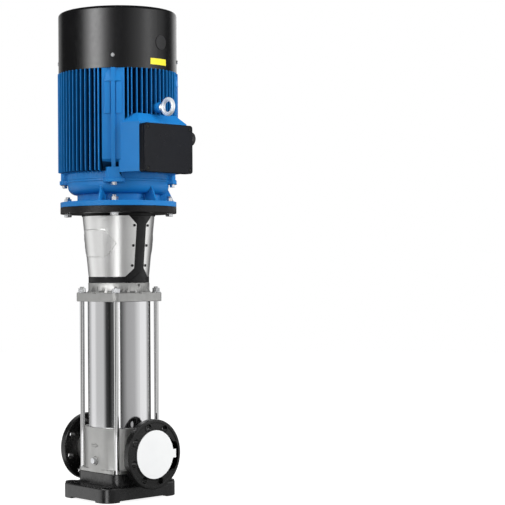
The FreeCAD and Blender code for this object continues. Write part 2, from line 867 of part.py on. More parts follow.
def stage_chamber(number):
    """A pressed stage cup: floor with the eye, wall, diffuser plate and curved return vanes."""
    name = f"stage_chamber_{number + 1}"
    low = sleeve_level + v.stage_pitch * number
    high = low + v.stage_pitch
    wall = v.stage_radius - v.stage_wall
    eye = v.impeller_eye_radius + v.running_gap
    plate = low + v.diffuser_plate_height
    body = new_body(name)
    vane_plan = new_sketch(body, f"{name}_vane", "XY_Plane", plate)
    curved_vane(vane_plan, v.diffuser_vane_offset, v.diffuser_vane_curve, v.stage_wall,
                v.diffuser_vane_inner, wall + v.stage_wall / 2)
    vane = pad(body, vane_plan, high - plate)
    polar(body, [vane], v.diffuser_vane_count)
    revolve(body, outline(new_sketch(body, f"{name}_cup"), [
        (eye, low), (v.stage_radius, low), (v.stage_radius, high), (wall, high),
        (wall, low + v.stage_wall), (eye, low + v.stage_wall),
    ]))
    revolve(body, rectangle(new_sketch(body, f"{name}_plate"), v.bush_radius, v.diffuser_plate_radius,
                            plate, plate + v.stage_wall))
    keep(body, name)


def stage_bushes():
    rings = []
    for number in range(STAGES):
        low = sleeve_level + v.stage_pitch * number + v.diffuser_plate_height + v.stage_wall / 2
        low = low - v.bush_height / 2
        outer = rod(v.bush_radius - v.fit_gap, low, low + v.bush_height)
        rings.append(outer.cut(rod(v.impeller_hub_radius + v.fit_gap * 2, low, low + v.bush_height)))
    group("stage_bushes", rings)


def clamp_ring():
    """The ring that presses the stages down; the water leaves through its windows."""
    low = head_level - v.clamp_ring_height
    body = tube("clamp", v.stage_radius - v.clamp_ring_width, v.stage_radius, low, head_level)
    window = rectangle(new_sketch(body, "clamp_window", "YZ_Plane"), -v.clamp_ring_height,
                       v.clamp_ring_height, low + v.stage_wall * 2, head_level - v.stage_wall * 2)
    polar(body, [pocket(body, window, along_normal=True)], 6)
    keep(body, "clamp_ring")


def impeller(number):
    """A closed impeller: curved blades trimmed to the front shroud, then shrouds and hub."""
    name = f"impeller_{number + 1}"
    low = sleeve_level + v.stage_pitch * number
    front_low = low + v.impeller_outlet_low - v.impeller_wall
    back_high = low + v.impeller_outlet_high + v.impeller_wall
    neck_high = low + v.impeller_neck_height
    neck_inner = v.impeller_eye_radius - v.impeller_wall
    body = new_body(name)
    blade_plan = new_sketch(body, f"{name}_blade", "XY_Plane", neck_high)
    curved_vane(blade_plan, v.impeller_blade_offset, v.impeller_blade_curve, v.impeller_wall,
                v.impeller_blade_inner, v.impeller_radius)
    blade = pad(body, blade_plan, v.impeller_outlet_high + 1 - v.impeller_neck_height)
    polar(body, [blade], v.impeller_blade_count)
    trim = outline(new_sketch(body, f"{name}_trim"), [
        (v.impeller_eye_radius, neck_high - 1), (v.impeller_radius + 1, neck_high - 1),
        (v.impeller_radius + 1, front_low + 1), (v.impeller_radius, front_low + 1),
        (v.impeller_eye_radius, neck_high + 1),
    ])
    groove(body, trim)
    revolve(body, outline(new_sketch(body, f"{name}_front"), [
        (neck_inner, low - v.impeller_neck_drop), (v.impeller_eye_radius, low - v.impeller_neck_drop),
        (v.impeller_eye_radius, neck_high), (v.impeller_radius, front_low),
        (v.impeller_radius, front_low + v.impeller_wall), (neck_inner, neck_high + v.impeller_wall),
    ]))
    shaft_fit = v.pump_shaft_radius + v.fit_gap
    revolve(body, outline(new_sketch(body, f"{name}_back"), [
        (shaft_fit, low), (v.impeller_hub_radius, low),
        (v.impeller_hub_radius, low + v.impeller_outlet_high),
        (v.impeller_radius, low + v.impeller_outlet_high), (v.impeller_radius, back_high),
        (v.impeller_hub_radius, back_high), (v.impeller_hub_radius, low + v.stage_pitch),
        (shaft_fit, low + v.stage_pitch),
    ]))
    keep(body, name)


def pump_head():
    body = new_body("head")
    flange = square(new_sketch(body, "head_plan", "XY_Plane", head_level), v.head_width)
    pad(body, flange, v.head_flange_thickness)
    ease(body, v.head_corner, is_upright)
    ceiling = stool_level - v.head_top_wall
    revolve(body, outline(new_sketch(body, "neck_section"), [
        (0, neck_level - 1), (v.head_neck_radius + v.head_flare, neck_level - 1),
        (v.head_neck_radius + v.head_flare, neck_level + v.head_flare / 2),
        (v.head_neck_radius, neck_level + v.head_flare * 2), (v.head_neck_radius, stool_level),
        (0, stool_level),
    ]))
    spigot = new_sketch(body, "head_spigot")
    revolve(body, rectangle(spigot, v.discharge_radius - v.stage_wall, spigot_radius,
                            head_level - v.spigot_height, head_level + 1))
    low = head_level - v.spigot_height / 2 - v.ring_groove_height / 2
    groove(body, rectangle(new_sketch(body, "head_ring_groove"), ring_groove_radius, sleeve_bore,
                           low, low + v.ring_groove_height))
    groove(body, outline(new_sketch(body, "head_cavity"), [
        (0, head_level - 1), (v.head_dome_radius, head_level - 1), (v.head_dome_radius, head_level),
        (v.seal_chamber_radius, head_level + v.head_dome_depth), (v.seal_chamber_radius, ceiling),
        (v.head_hole_radius, ceiling), (v.head_hole_radius, stool_level + 1), (0, stool_level + 1),
    ]))
    hole = circle(new_sketch(body, "rod_hole", "XY_Plane", neck_level, 45), v.rod_circle_radius, 0,
                  v.rod_radius + v.bolt_gap)
    polar(body, [pocket(body, hole, v.head_flange_thickness + 1)], CORNERS)
    gauge = circle(new_sketch(body, "gauge_hole", "YZ_Plane", v.head_neck_radius + 1), 0,
                   neck_level + v.gauge_hole_rise, v.gauge_hole_radius)
    pocket(body, gauge, v.gauge_hole_depth + 1)
    vent = circle(new_sketch(body, "vent_hole", "XZ_Plane", -v.head_neck_radius - 1), 0,
                  neck_level + v.vent_rise, v.vent_thread_radius + v.fit_gap)
    pocket(body, vent, v.vent_thread_length + 2, along_normal=True)
    keep(body, "pump_head")


def vent_plug():
    thread = rod(v.vent_thread_radius, -v.vent_thread_length, 0.5)
    head = placed(hexagon(v.vent_head_flats, v.vent_head_height), 0, 0, 0.5)
    level = neck_level + v.vent_rise
    group("vent_plug", [placed(thread.fuse(head), 0, v.head_neck_radius, level, outward(90))])


def shaft_seal():
    ceiling = stool_level - v.head_top_wall
    keep(turned_body("carrier", [
        (v.seal_bore_radius, ceiling), (v.head_hole_radius - v.fit_gap, ceiling),
        (v.head_hole_radius - v.fit_gap, stool_level), (v.carrier_radius, stool_level),
        (v.carrier_radius, stool_level + v.carrier_thickness),
        (v.seal_bore_radius, stool_level + v.carrier_thickness),
    ]), "seal_carrier")
    seat = ceiling - v.seal_seat_height
    keep(tube("seat", v.seal_bore_radius, v.seal_ring_radius, seat, ceiling), "seal_seat")
    ring_top = seat - v.running_gap
    keep(tube("ring", v.pump_shaft_radius + v.fit_gap, v.seal_ring_radius,
              ring_top - v.seal_ring_length, ring_top), "seal_ring")


def cone_radius(level):
    """Outer radius of the stool's raised bands at a level."""
    rise = (level - cone_level) / v.stool_cone_height
    return cone_foot_radius + v.stool_cone_spread * rise


def guard_screw_spots():
    """Level, face radius and swing from the port axis of each row of guard screws."""
    offset = v.stool_band_width / 2 + v.seat_gap * 2 + v.guard_screw_inset
    spots = []
    for step in range(3):
        level = cone_level + v.guard_screw_low + v.guard_screw_step * step
        face = cone_radius(level) - v.stool_band_height + v.seat_gap + v.guard_sheet
        spots.append((level, face, arcsine(offset / face)))
    return spots


def guard_screw_holes(body, radius):
    """Drill the screw rows through both sides of a body."""
    for row, (level, face, swing) in enumerate(guard_screw_spots()):
        for side, turn in (("low", swing), ("high", 180 - swing)):
            hole = new_sketch(body, f"{body.Name}_{side}_{row}", "YZ_Plane", turn=turn)
            pocket(body, circle(hole, 0, level, radius), both_sides=True)


def gusset_outline(half_width, low, high, gusset, far):
    """Half a window with two cut corners, from the column's edge to far beyond the wall."""
    return [
        (half_width + gusset, low), (far, low), (far, high), (half_width + gusset, high),
        (half_width, high - gusset), (half_width, low + gusset),
    ]


def cut_both_sides(body, name, points):
    """Pocket an outline of the side view and its mirror image right through."""
    sketch = new_sketch(body, name, "YZ_Plane")
    outline(sketch, points)
    outline(sketch, [(-x, y) for x, y in points])
    pocket(body, sketch, both_sides=True)


def motor_stool():
    """A cone on two columns between the pump head and the motor flange."""
    sunk = v.stool_band_height
    inner = v.stool_wall + sunk
    far = v.stool_neck_radius + v.stool_wall
    shell = turned_body("stool_shell", [
        (v.stool_ring_bore, stool_level), (v.stool_ring_radius, stool_level),
        (v.stool_ring_radius, cone_level), (cone_foot_radius - sunk, cone_level),
        (cone_head_radius - sunk, cone_top), (v.stool_neck_radius, cone_top),
        (v.stool_neck_radius, plate_level), (v.motor_flange_radius, plate_level),
        (v.motor_flange_radius, motor_level), (v.motor_spigot_radius + v.fit_gap, motor_level),
        (v.motor_spigot_radius + v.fit_gap, motor_level - v.motor_spigot_height - v.seat_gap),
        (v.stool_bore_radius, motor_level - v.motor_spigot_height - v.seat_gap),
        (cone_head_radius - inner, cone_top), (cone_foot_radius - inner, cone_level),
        (v.stool_ring_bore, cone_level),
    ])
    sill = v.stool_window_sill
    cut_both_sides(shell, "stool_window", gusset_outline(
        v.stool_column_width / 2, cone_level + sill, cone_top - sill, v.stool_gusset - sill, far))
    bolt_hole = circle(new_sketch(shell, "stool_bolt_hole", "XY_Plane", motor_level, 45),
                       v.motor_bolt_circle / 2, 0, v.motor_bolt_radius + v.bolt_gap)
    polar(shell, [pocket(shell, bolt_hole)], CORNERS)
    screw_hole = circle(new_sketch(shell, "stool_screw_hole", "XY_Plane", cone_level, 45),
                        v.stool_screw_circle_radius, 0, v.stool_screw_radius + v.fit_gap)
    polar(shell, [pocket(shell, screw_hole)], CORNERS)
    guard_screw_holes(shell, v.guard_screw_radius + v.bolt_gap)
    bands = turned_body("stool_bands", [
        (cone_foot_radius - inner, cone_level), (cone_foot_radius, cone_level),
        (cone_head_radius, cone_top), (cone_head_radius - inner, cone_top),
    ])
    cut_both_sides(bands, "stool_band_cut", gusset_outline(
        v.stool_band_width / 2, cone_level, cone_top, v.stool_gusset, far))
    marks = tube("stool_marks", v.stool_ring_radius - v.stool_wall,
                 v.stool_ring_radius + v.stool_mark_relief, stool_level + 1,
                 stool_level + v.stool_mark_height)
    apex = stool_level + v.stool_mark_height
    cut_both_sides(marks, "stool_mark_cut", [
        (v.stool_mark_width / 2, stool_level), (far, stool_level), (far, apex + 1),
        (0.5, apex + 1), (0.5, apex),
    ])
    keep(joined("stool", shell, bands, marks), "motor_stool")


def stool_screws():
    head = rod(v.stool_screw_radius * HEAD_SPREAD, 0, v.stool_screw_radius * 2)
    shank = rod(v.stool_screw_radius, -v.stool_ring_height + 0.5, 0)
    screws = around(head.fuse(shank), v.stool_screw_circle_radius, cone_level)
    group("stool_screws", screws)


def coupling_guard(label, turn):
    """A pressed sheet that closes one side of the stool, with a raised panel in its middle."""
    back = v.stool_band_height - v.seat_gap
    front = back - v.guard_sheet
    far = v.stool_neck_radius + v.stool_wall
    low = cone_level + v.seat_gap
    high = cone_top - v.seat_gap
    sheet_body = turned_body(f"{label}_sheet", [
        (cone_radius(low) - back, low), (cone_radius(low) - front, low),
        (cone_radius(high) - front, high), (cone_radius(high) - back, high),
    ])
    edge = v.stool_band_width / 2 + v.seat_gap * 2
    sheet_cut = new_sketch(sheet_body, f"{label}_sheet_cut", "YZ_Plane")
    outline(sheet_cut, [
        (-edge - v.stool_gusset, cone_level - 1), (far, cone_level - 1), (far, cone_top + 1),
        (-edge - v.stool_gusset, cone_top + 1), (-edge - v.stool_gusset, cone_top),
        (-edge, cone_top - v.stool_gusset), (-edge, cone_level + v.stool_gusset),
        (-edge - v.stool_gusset, cone_level),
    ])
    pocket(sheet_body, sheet_cut, both_sides=True)
    guard_screw_holes(sheet_body, v.guard_screw_radius + v.bolt_gap)
    panel_low = cone_level + v.guard_panel_rise
    panel_high = panel_low + v.guard_panel_height
    panel_top = v.guard_panel_relief - front
    panel = turned_body(f"{label}_panel", [
        (cone_radius(panel_low) - front - v.guard_sheet / 2, panel_low),
        (cone_radius(panel_low) + panel_top, panel_low),
        (cone_radius(panel_high) + panel_top, panel_high),
        (cone_radius(panel_high) - front - v.guard_sheet / 2, panel_high),
    ])
    half = v.guard_panel_width / 2
    middle = (panel_low + panel_high) / 2
    shoulder = half - v.guard_panel_point
    frame = new_sketch(panel, f"{label}_panel_cut", "XZ_Plane")
    outline(frame, [(half, panel_low - 1), (far, panel_low - 1), (far, panel_high + 1),
                    (shoulder, panel_high + 1), (shoulder, panel_high), (half, middle),
                    (shoulder, panel_low), (shoulder, panel_low - 1)])
    outline(frame, [(-half, panel_low - 1), (-far, panel_low - 1), (-far, panel_high + 1),
                    (-shoulder, panel_high + 1), (-shoulder, panel_high), (-half, middle),
                    (-shoulder, panel_low), (-shoulder, panel_low - 1)])
    pocket(panel, frame, both_sides=True)
    rear = rectangle(new_sketch(panel, f"{label}_rear_cut", "XY_Plane", panel_low - 1), -far, far,
                     0, far)
    pocket(panel, rear, v.guard_panel_height + 2, along_normal=True)
    guard = joined(label, sheet_body, panel)
    guard.Placement = Placement(Vector(0, 0, 0), Rotation(Vector(0, 0, 1), turn))
    keep(guard, label)


def guard_screws():
    head = rod(v.guard_screw_head_radius, 0, v.guard_screw_head_height)
    shank = rod(v.guard_screw_radius, -v.stool_wall / 2, 0)
    screw = head.fuse(shank)
    dip = math.degrees(math.atan2(v.stool_cone_spread.value, v.stool_cone_height.value))
    screws = []
    for level, face, swing in guard_screw_spots():
        for angle in (-swing.value, swing.value, 180 - swing.value, 180 + swing.value):
            spot = Rotation(Vector(0, 0, 1), angle).multVec(Vector(face.value, 0, level.value))
            screws.append(placed(screw, spot.x, spot.y, spot.z, outward(angle, dip)))
    group("guard_screws", screws)


def shaft_coupling():
    """A split coupling that clamps the motor shaft to the pump shaft."""
    shaft_end = motor_level - v.motor_shaft_length
    step = shaft_end - v.bolt_gap
    high = shaft_end + v.coupling_grip
    low = high - v.coupling_length
    levels = (low + v.coupling_bolt_inset, high - v.coupling_bolt_inset)
    for label, turn in (("coupling_half_left", 0), ("coupling_half_right", 180)):
        body = turned_body(label, [
            (v.pump_shaft_radius + v.fit_gap, low), (v.coupling_radius, low),
            (v.coupling_radius, high), (v.motor_shaft_radius + v.fit_gap, high),
            (v.motor_shaft_radius + v.fit_gap, step), (v.pump_shaft_radius + v.fit_gap, step),
        ])
        split = rectangle(new_sketch(body, f"{label}_split", "XY_Plane", low - 1), -v.coupling_radius - 1,
                          v.coupling_radius + 1, -v.coupling_split / 2, v.coupling_radius + 1)
        pocket(body, split, v.coupling_length + 2, along_normal=True)
        holes = new_sketch(body, f"{label}_holes", "XZ_Plane")
        for level in levels:
            for side in (-1, 1):
                circle(holes, v.coupling_bolt_reach * side, level, v.coupling_bolt_radius + v.fit_gap)
        pocket(body, holes, both_sides=True)
        body.Placement = Placement(Vector(0, 0, 0), Rotation(Vector(0, 0, 1), turn))
        keep(body, label)
    reach = v.coupling_radius * BOLT_SHARE
    bolt = placed(rod(v.coupling_bolt_radius, -reach, reach), 0, 0, 0)
    bolts = [placed(bolt, v.coupling_bolt_reach * side, 0, level, outward(90))
             for level in levels for side in (-1, 1)]
    group("coupling_bolts", bolts)


def drive_end_shield():
    """The motor's flange casting: flange, neck, bowl, ribs and four ears."""
    flange_top = motor_level + v.motor_flange_thickness
    rim_level = bowl_level + v.shield_bowl_height
    cup = v.bearing_radius + v.fit_gap
    hub = v.bearing_radius + v.bearing_cup_wall
    cup_top = lower_bearing_level + v.bearing_width + v.shield_rim_height / 2
    spigot = v.frame_bore_radius - v.fit_gap
    body = turned_body("drive_shield", [
        (v.shaft_hole_radius, motor_level), (v.stool_bore_radius, motor_level),
        (v.stool_bore_radius, motor_level - v.motor_spigot_height),
        (v.motor_spigot_radius, motor_level - v.motor_spigot_height),
        (v.motor_spigot_radius, motor_level), (v.motor_flange_radius, motor_level),
        (v.motor_flange_radius, flange_top), (v.shield_neck_radius, flange_top),
        (v.shield_neck_radius, bowl_level), (v.shield_bowl_radius, bowl_level),
        (v.shield_bowl_radius, rim_level), (v.collar_radius, rim_level),
        (v.collar_radius, frame_level), (spigot, frame_level),
        (spigot, frame_level + v.spigot_height), (v.winding_outer + v.stage_wall, frame_level + v.spigot_height),
        (v.winding_outer + v.stage_wall, frame_level - v.shield_rim_height),
        (hub, cup_top), (cup, cup_top), (cup, lower_bearing_level),
        (v.shaft_hole_radius, lower_bearing_level),
    ])
    ease(body, v.shield_bowl_round, lambda edge: is_ring(edge, v.shield_bowl_radius, bowl_level))
    rib = new_sketch(body, "shield_rib")
    inside = v.shield_neck_radius - v.shield_rib_thickness
    outline(rib, [
        (-inside, flange_top - 1), (-v.shield_rib_foot, flange_top - 1), (-v.shield_rib_foot, flange_top + 2),
        (v.stage_wall - v.shield_bowl_radius, flange_top + v.shield_rib_height),
        (-inside, flange_top + v.shield_rib_height),
    ])
    ribs = polar(body, [pad(body, rib, v.shield_rib_thickness, both_sides=True)], v.shield_rib_count)
    ribs.Mode = "Spacing"
    ribs.Reversed = True
    bind(ribs, "Offset", v.shield_rib_spacing)
    ear = new_sketch(body, "shield_ear", "XY_Plane", frame_level, 45)
    half = v.shield_ear_width / 2
    outline(ear, [(v.shield_bowl_radius - v.shield_ear_height, -half), (v.shield_ear_radius - half / 3, -half),
                  (v.shield_ear_radius, -half * 2 / 3), (v.shield_ear_radius, half * 2 / 3),
                  (v.shield_ear_radius - half / 3, half), (v.shield_bowl_radius - v.shield_ear_height, half)])
    polar(body, [pad(body, ear, v.shield_ear_height, downward=True)], CORNERS)
    bolt = circle(new_sketch(body, "shield_bolt_hole", "XY_Plane", frame_level, 45),
                  v.ear_bolt_circle_radius, 0, v.ear_bolt_radius + v.fit_gap)
    polar(body, [pocket(body, bolt, v.shield_ear_height + 1)], CORNERS)
    stud = circle(new_sketch(body, "flange_bolt_hole", "XY_Plane", flange_top + v.stage_wall, 45),
                  v.motor_bolt_circle / 2, 0, v.motor_bolt_radius + v.bolt_gap)
    polar(body, [pocket(body, stud, v.motor_flange_thickness + v.stage_wall + 1)], CORNERS)
    keep(body, "drive_end_shield")


def fin_ring(name, count, spacing, start):
    """Tapered fins with a sloped foot: a row of them from an angle on, in all four quarters."""
    root = v.frame_radius - 2
    low = frame_level + v.collar_height - v.fin_slope
    body = new_body(name)
    made = body.newObject("PartDesign::AdditiveLoft", f"{name}_fin")
    ends = []
    for end, reach, thickness, foot in (("tip", v.fin_tip_radius, v.fin_tip_thickness, low + v.fin_slope),
                                        ("root", root, v.fin_root_thickness, low)):
        face = new_sketch(body, f"{name}_{end}", "YZ_Plane", reach)
        ends.append(rectangle(face, -thickness / 2, thickness / 2, foot, frame_top))
    made.Profile = ends[0]
    made.Sections = [ends[1]]
    made.Ruled = True
    body.Tip = made
    field = body.newObject("PartDesign::MultiTransform", f"{name}_field")
    field.Originals = [made]
    row_of_fins = body.newObject("PartDesign::PolarPattern", f"{name}_row")
    row_of_fins.Axis = (origin_part(body, "Z_Axis"), [""])
    row_of_fins.Mode = "Spacing"
    quarters = body.newObject("PartDesign::PolarPattern", f"{name}_quarters")
    quarters.Axis = (origin_part(body, "Z_Axis"), [""])
    quarters.Occurrences = CORNERS
    field.Transformations = [row_of_fins, quarters]
    bind(row_of_fins, "Occurrences", count)
    bind(row_of_fins, "Offset", spacing)
    body.Tip = field
    body.Placement = Placement(Vector(0, 0, 0), Rotation(Vector(0, 0, 1), start.value))
    body.setExpression(".Placement.Rotation.Angle", f"{start.text} * 1 deg")
    return body


def cable_saddle():
    """The block behind the terminal box, sloped at its top edges, with the threaded cable entry."""
    body = new_body("saddle")
    saddle = new_sketch(body, "saddle_plan", "XY_Plane", saddle_level)
    root = v.saddle_root_width / 2
    mouth = v.box_width / 2
    outline(saddle, [(v.saddle_root, -root), (v.saddle_reach, -mouth),
                     (v.saddle_reach, mouth), (v.saddle_root, root)])
    pad(body, saddle, v.saddle_height)
    saddle_top = saddle_level + v.saddle_height
    ease(body, v.saddle_slope, lambda edge: lies_at(edge, saddle_top)
         and edge.BoundBox.XMax > v.saddle_root.value + 1, kind="Chamfer")
    shell = circle(new_sketch(body, "saddle_bore", "XY_Plane", saddle_level), 0, 0,
                   (v.frame_bore_radius + v.frame_radius) / 2)
    pocket(body, shell, along_normal=True)
    entry = circle(new_sketch(body, "entry_boss", "XZ_Plane", -v.entry_boss_reach),
                   v.saddle_reach - v.entry_setback, frame_level + v.entry_rise, v.entry_boss_radius)
    pad(body, entry, v.entry_boss_reach - mouth + v.plug_collar)
    entry_hole = circle(new_sketch(body, "entry_hole", "XZ_Plane", -v.entry_boss_reach),
                        v.saddle_reach - v.entry_setback, frame_level + v.entry_rise,
                        v.plug_thread_radius + v.fit_gap)
    pocket(body, entry_hole, v.plug_thread_length + 1, along_normal=True)
    return body


def motor_frame():
    """The finned frame: shell and collar, ears, side pads and saddle, then the fins."""
    body = turned_body("frame_core", [
        (v.frame_bore_radius - 1, frame_level), (v.collar_radius, frame_level),
        (v.collar_radius, frame_level + v.collar_height),
        (v.frame_radius, frame_level + v.collar_height + v.collar_radius - v.frame_radius),
        (v.frame_radius, frame_top), (v.frame_bore_radius - 1, frame_top),
    ])
    pad_low = frame_level + v.pad_foot_rise
    side_pad = outline(new_sketch(body, "pad_section", "XZ_Plane", turn=DIAGONAL), [
        (v.frame_radius - 2, pad_low - v.pad_radius + v.frame_radius), (v.pad_radius, pad_low),
        (v.pad_radius, frame_top), (v.frame_radius - 2, frame_top),
    ])
    polar(body, [pad(body, side_pad, v.pad_width, both_sides=True)], CORNERS)
    ridge = outline(new_sketch(body, "ridge_section", "XZ_Plane", turn=DIAGONAL), [
        (v.frame_radius - 2, frame_level + v.ear_height - 1), (v.ear_radius - 2, frame_level + v.ear_height - 1),
        (v.ridge_radius, pad_low), (v.ridge_radius, frame_top), (v.frame_radius - 2, frame_top),
    ])
    polar(body, [pad(body, ridge, v.ridge_width, both_sides=True)], CORNERS)
    panel_low = frame_level + v.panel_rise
    panels = new_sketch(body, "panel_plan", "XY_Plane", panel_low, 45)
    start = v.ridge_width / 2 + v.panel_gap / 2
    for side in (-1, 1):
        rectangle(panels, v.pad_radius - 1, v.pad_radius + v.panel_relief,
                  (start if side == 1 else -start - v.panel_width),
                  (start + v.panel_width if side == 1 else -start))
    polar(body, [pad(body, panels, v.panel_height)], CORNERS)
    ear = new_sketch(body, "ear_plan", "XY_Plane", frame_level, 45)
    half = v.ear_width / 2
    outline(ear, [(v.frame_radius - 5, -half), (v.ear_radius - half / 3, -half),
                  (v.ear_radius, -half * 2 / 3), (v.ear_radius, half * 2 / 3),
                  (v.ear_radius - half / 3, half), (v.frame_radius - 5, half)])
    polar(body, [pad(body, ear, v.ear_height)], CORNERS)
    eye_level = frame_level + v.eye_rise
    eye_boss = circle(new_sketch(body, "eye_boss", "YZ_Plane", v.frame_radius - 3), 0, eye_level,
                      v.eye_boss_radius)
    pad(body, eye_boss, v.eye_boss_reach - v.frame_radius + 3)
    eye_hole = circle(new_sketch(body, "eye_hole", "YZ_Plane", v.eye_boss_reach), 0, eye_level,
                      v.eye_shank_radius + v.fit_gap)
    pocket(body, eye_hole, v.eye_shank_length + 1)
    bore = circle(new_sketch(body, "frame_bore", "XY_Plane", frame_top), 0, 0, v.frame_bore_radius)
    pocket(body, bore)
    ear_hole = circle(new_sketch(body, "ear_hole", "XY_Plane", frame_level, 45),
                      v.ear_bolt_circle_radius, 0, v.ear_bolt_radius + v.fit_gap)
    depth = v.ear_bolt_length - v.shield_ear_height + 1
    polar(body, [pocket(body, ear_hole, depth, along_normal=True)], CORNERS)
    half_row = v.fin_spacing * (v.fins_per_quarter - 1) / 2
    row = fin_ring("fins", v.fins_per_quarter, v.fin_spacing, 90 - half_row)
    beside = fin_ring("side_fins", PAIR, v.side_fin_angle * 2, 45 - v.side_fin_angle)
    keep(joined("frame", body, cable_saddle(), row, beside), "motor_frame")


def motor_fasteners():
    flange_top = motor_level + v.motor_flange_thickness
    head = v.motor_bolt_head_height
    shank = rod(v.motor_bolt_radius, head, head + flange_top - plate_level + v.rod_nut_height + v.motor_bolt_end)
    bolt = hexagon(v.motor_bolt_head_flats, head).fuse(shank)
    group("flange_bolts", around(bolt, v.motor_bolt_circle / 2, plate_level - head))
    nut = hexagon(v.motor_bolt_head_flats, v.rod_nut_height, v.motor_bolt_radius + v.fit_gap)
    group("flange_nuts", around(nut, v.motor_bolt_circle / 2, flange_top))
    ear_low = frame_level - v.shield_ear_height
    ear_head = v.ear_bolt_head_height
    ear_shank = rod(v.ear_bolt_radius, ear_head, ear_head + v.ear_bolt_length)
    ear_bolt = hexagon(v.ear_bolt_head_flats, ear_head).fuse(ear_shank)
    group("shield_bolts", around(ear_bolt, v.ear_bolt_circle_radius, ear_low - ear_head))


def bearings():
    outer = []
    inner = []
    for level in (lower_bearing_level, upper_bearing_level):
        high = level + v.bearing_width
        split = v.bearing_split_radius
        outer.append(rod(v.bearing_radius, level, high).cut(rod(split, level, high)))
        low_side = level + v.running_gap
        high_side = high - v.running_gap
        race = rod(split - v.fit_gap, low_side, high_side)
        inner.append(race.cut(rod(v.bearing_bore_radius + v.fit_gap, low_side, high_side)))
    group("bearing_outer_rings", outer)
    group("bearing_inner_rings", inner)


def shafts():
    bottom = sleeve_level - v.pump_shaft_drop
    shaft_end = motor_level - v.motor_shaft_length
    keep(tube("pump_axle", NOTHING, v.pump_shaft_radius, bottom, shaft_end - v.stage_wall), "pump_shaft")
    shoulder_low = lower_bearing_level + v.bearing_width
    shoulder_high = upper_bearing_level
    rear_end = upper_bearing_level + v.rear_hub_height + v.bolt_gap
    keep(turned_body("motor_axle", [
        (0, shaft_end), (v.motor_shaft_radius, shaft_end), (v.motor_shaft_radius, motor_level),
        (v.bearing_bore_radius, motor_level), (v.bearing_bore_radius, shoulder_low),
        (v.core_shaft_radius, shoulder_low), (v.core_shaft_radius, shoulder_high),
        (v.bearing_bore_radius, shoulder_high), (v.bearing_bore_radius, rear_end),
        (v.fan_shaft_radius, rear_end), (v.fan_shaft_radius, frame_top + v.fan_rise + v.fan_height),
        (0, frame_top + v.fan_rise + v.fan_height),
    ]), "motor_shaft")


def cores():
    high = core_level + v.core_length
    keep(tube("rotor", v.core_shaft_radius + v.fit_gap, v.rotor_radius, core_level, high), "rotor_core")
    stator_bore = v.rotor_radius + v.air_gap
    keep(tube("stator", stator_bore, v.frame_bore_radius - v.fit_gap, core_level, high), "stator_core")
    ends = []
    for low, top in ((core_level - v.winding_overhang, core_level), (high, high + v.winding_overhang)):
        ends.append(rod(v.winding_outer, low, top).cut(rod(v.winding_inner, low, top)))
    group("stator_winding", ends)


def rear_end_shield():
    """The upper bearing plate, with four lugs that carry the fan cover."""
    plate_top = frame_top + v.rear_plate_thickness
    cup = v.bearing_radius + v.fit_gap
    hub = v.bearing_radius + v.bearing_cup_wall
    hub_top = frame_top + v.rear_hub_height
    spigot = v.frame_bore_radius - v.fit_gap
    body = turned_body("rear_shield", [
        (cup, frame_top), (v.winding_outer, frame_top), (v.winding_outer, frame_top - v.spigot_height),
        (spigot, frame_top - v.spigot_height), (spigot, frame_top), (v.collar_radius, frame_top),
        (v.collar_radius, plate_top), (hub, plate_top), (hub, hub_top),
        (v.shaft_hole_radius, hub_top), (v.shaft_hole_radius, upper_bearing_level + v.bearing_width),
        (cup, upper_bearing_level + v.bearing_width),
    ])
    lug_face = v.fan_cover_radius - v.fan_cover_wall - v.seat_gap
    half = v.cover_lug_width / 2
    lug = rectangle(new_sketch(body, "cover_lug", "XY_Plane", frame_top, 45),
                    v.frame_radius - v.cover_lug_width, lug_face, -half, half)
    made = pad(body, lug, v.cover_lug_height)
    polar(body, [made], CORNERS)
    rim = rectangle(new_sketch(body, "lug_rim"), lug_face, v.fan_cover_radius + half,
                    frame_top - 1, frame_top + v.cover_lug_height + 1)
    groove(body, rim)
    keep(body, "rear_end_shield")


def cooling_fan():
    low = frame_top + v.fan_rise
    body = turned_body("cooling_fan", [
        (v.fan_shaft_radius + v.fit_gap, low), (v.fan_radius, low), (v.fan_radius, low + v.fan_plate),
        (v.fan_hub_radius, low + v.fan_plate), (v.fan_hub_radius, low + v.fan_height),
        (v.fan_shaft_radius + v.fit_gap, low + v.fan_height),
    ])
    blade = rectangle(new_sketch(body, "fan_blade", "XY_Plane", low), v.fan_hub_radius - 2, v.fan_radius,
                      -v.fan_plate / 2, v.fan_plate / 2)
    polar(body, [pad(body, blade, v.fan_height)], v.fan_blade_count)
    keep(body, "fan")


def fan_cover():
    """A pressed cap with two rings of air slots in its top."""
    inner = v.fan_cover_radius - v.fan_cover_wall
    body = turned_body("fan_cap", [
        (inner, frame_top), (v.fan_cover_radius, frame_top), (v.fan_cover_radius, cover_top),
        (0, cover_top), (0, cover_top - v.fan_cover_wall), (inner, cover_top - v.fan_cover_wall),
    ])
    ease(body, v.fan_cover_round, lambda edge: is_ring(edge, v.fan_cover_radius, cover_top))
    ease(body, v.fan_cover_round - v.fan_cover_wall,
         lambda edge: is_ring(edge, inner, cover_top - v.fan_cover_wall))
    half = v.inlet_slot_width / 2
    for name, start, end, count in (
        ("inner_slot", v.inlet_inner_start, v.inlet_inner_end, v.inlet_inner_count),
        ("outer_slot", v.inlet_outer_start, v.inlet_outer_end, v.inlet_outer_count),
    ):
        slot = rectangle(new_sketch(body, name, "XY_Plane", cover_top), start, end, -half, half)
        polar(body, [pocket(body, slot, v.fan_cover_wall + 1)], count)
    screw = circle(new_sketch(body, "cover_screw_hole", "YZ_Plane", turn=DIAGONAL), 0,
                   frame_top + v.cover_screw_rise, v.cover_screw_radius + v.fit_gap)
    polar(body, [pocket(body, screw, both_sides=True)], 2, 90)
    keep(body, "fan_cover")


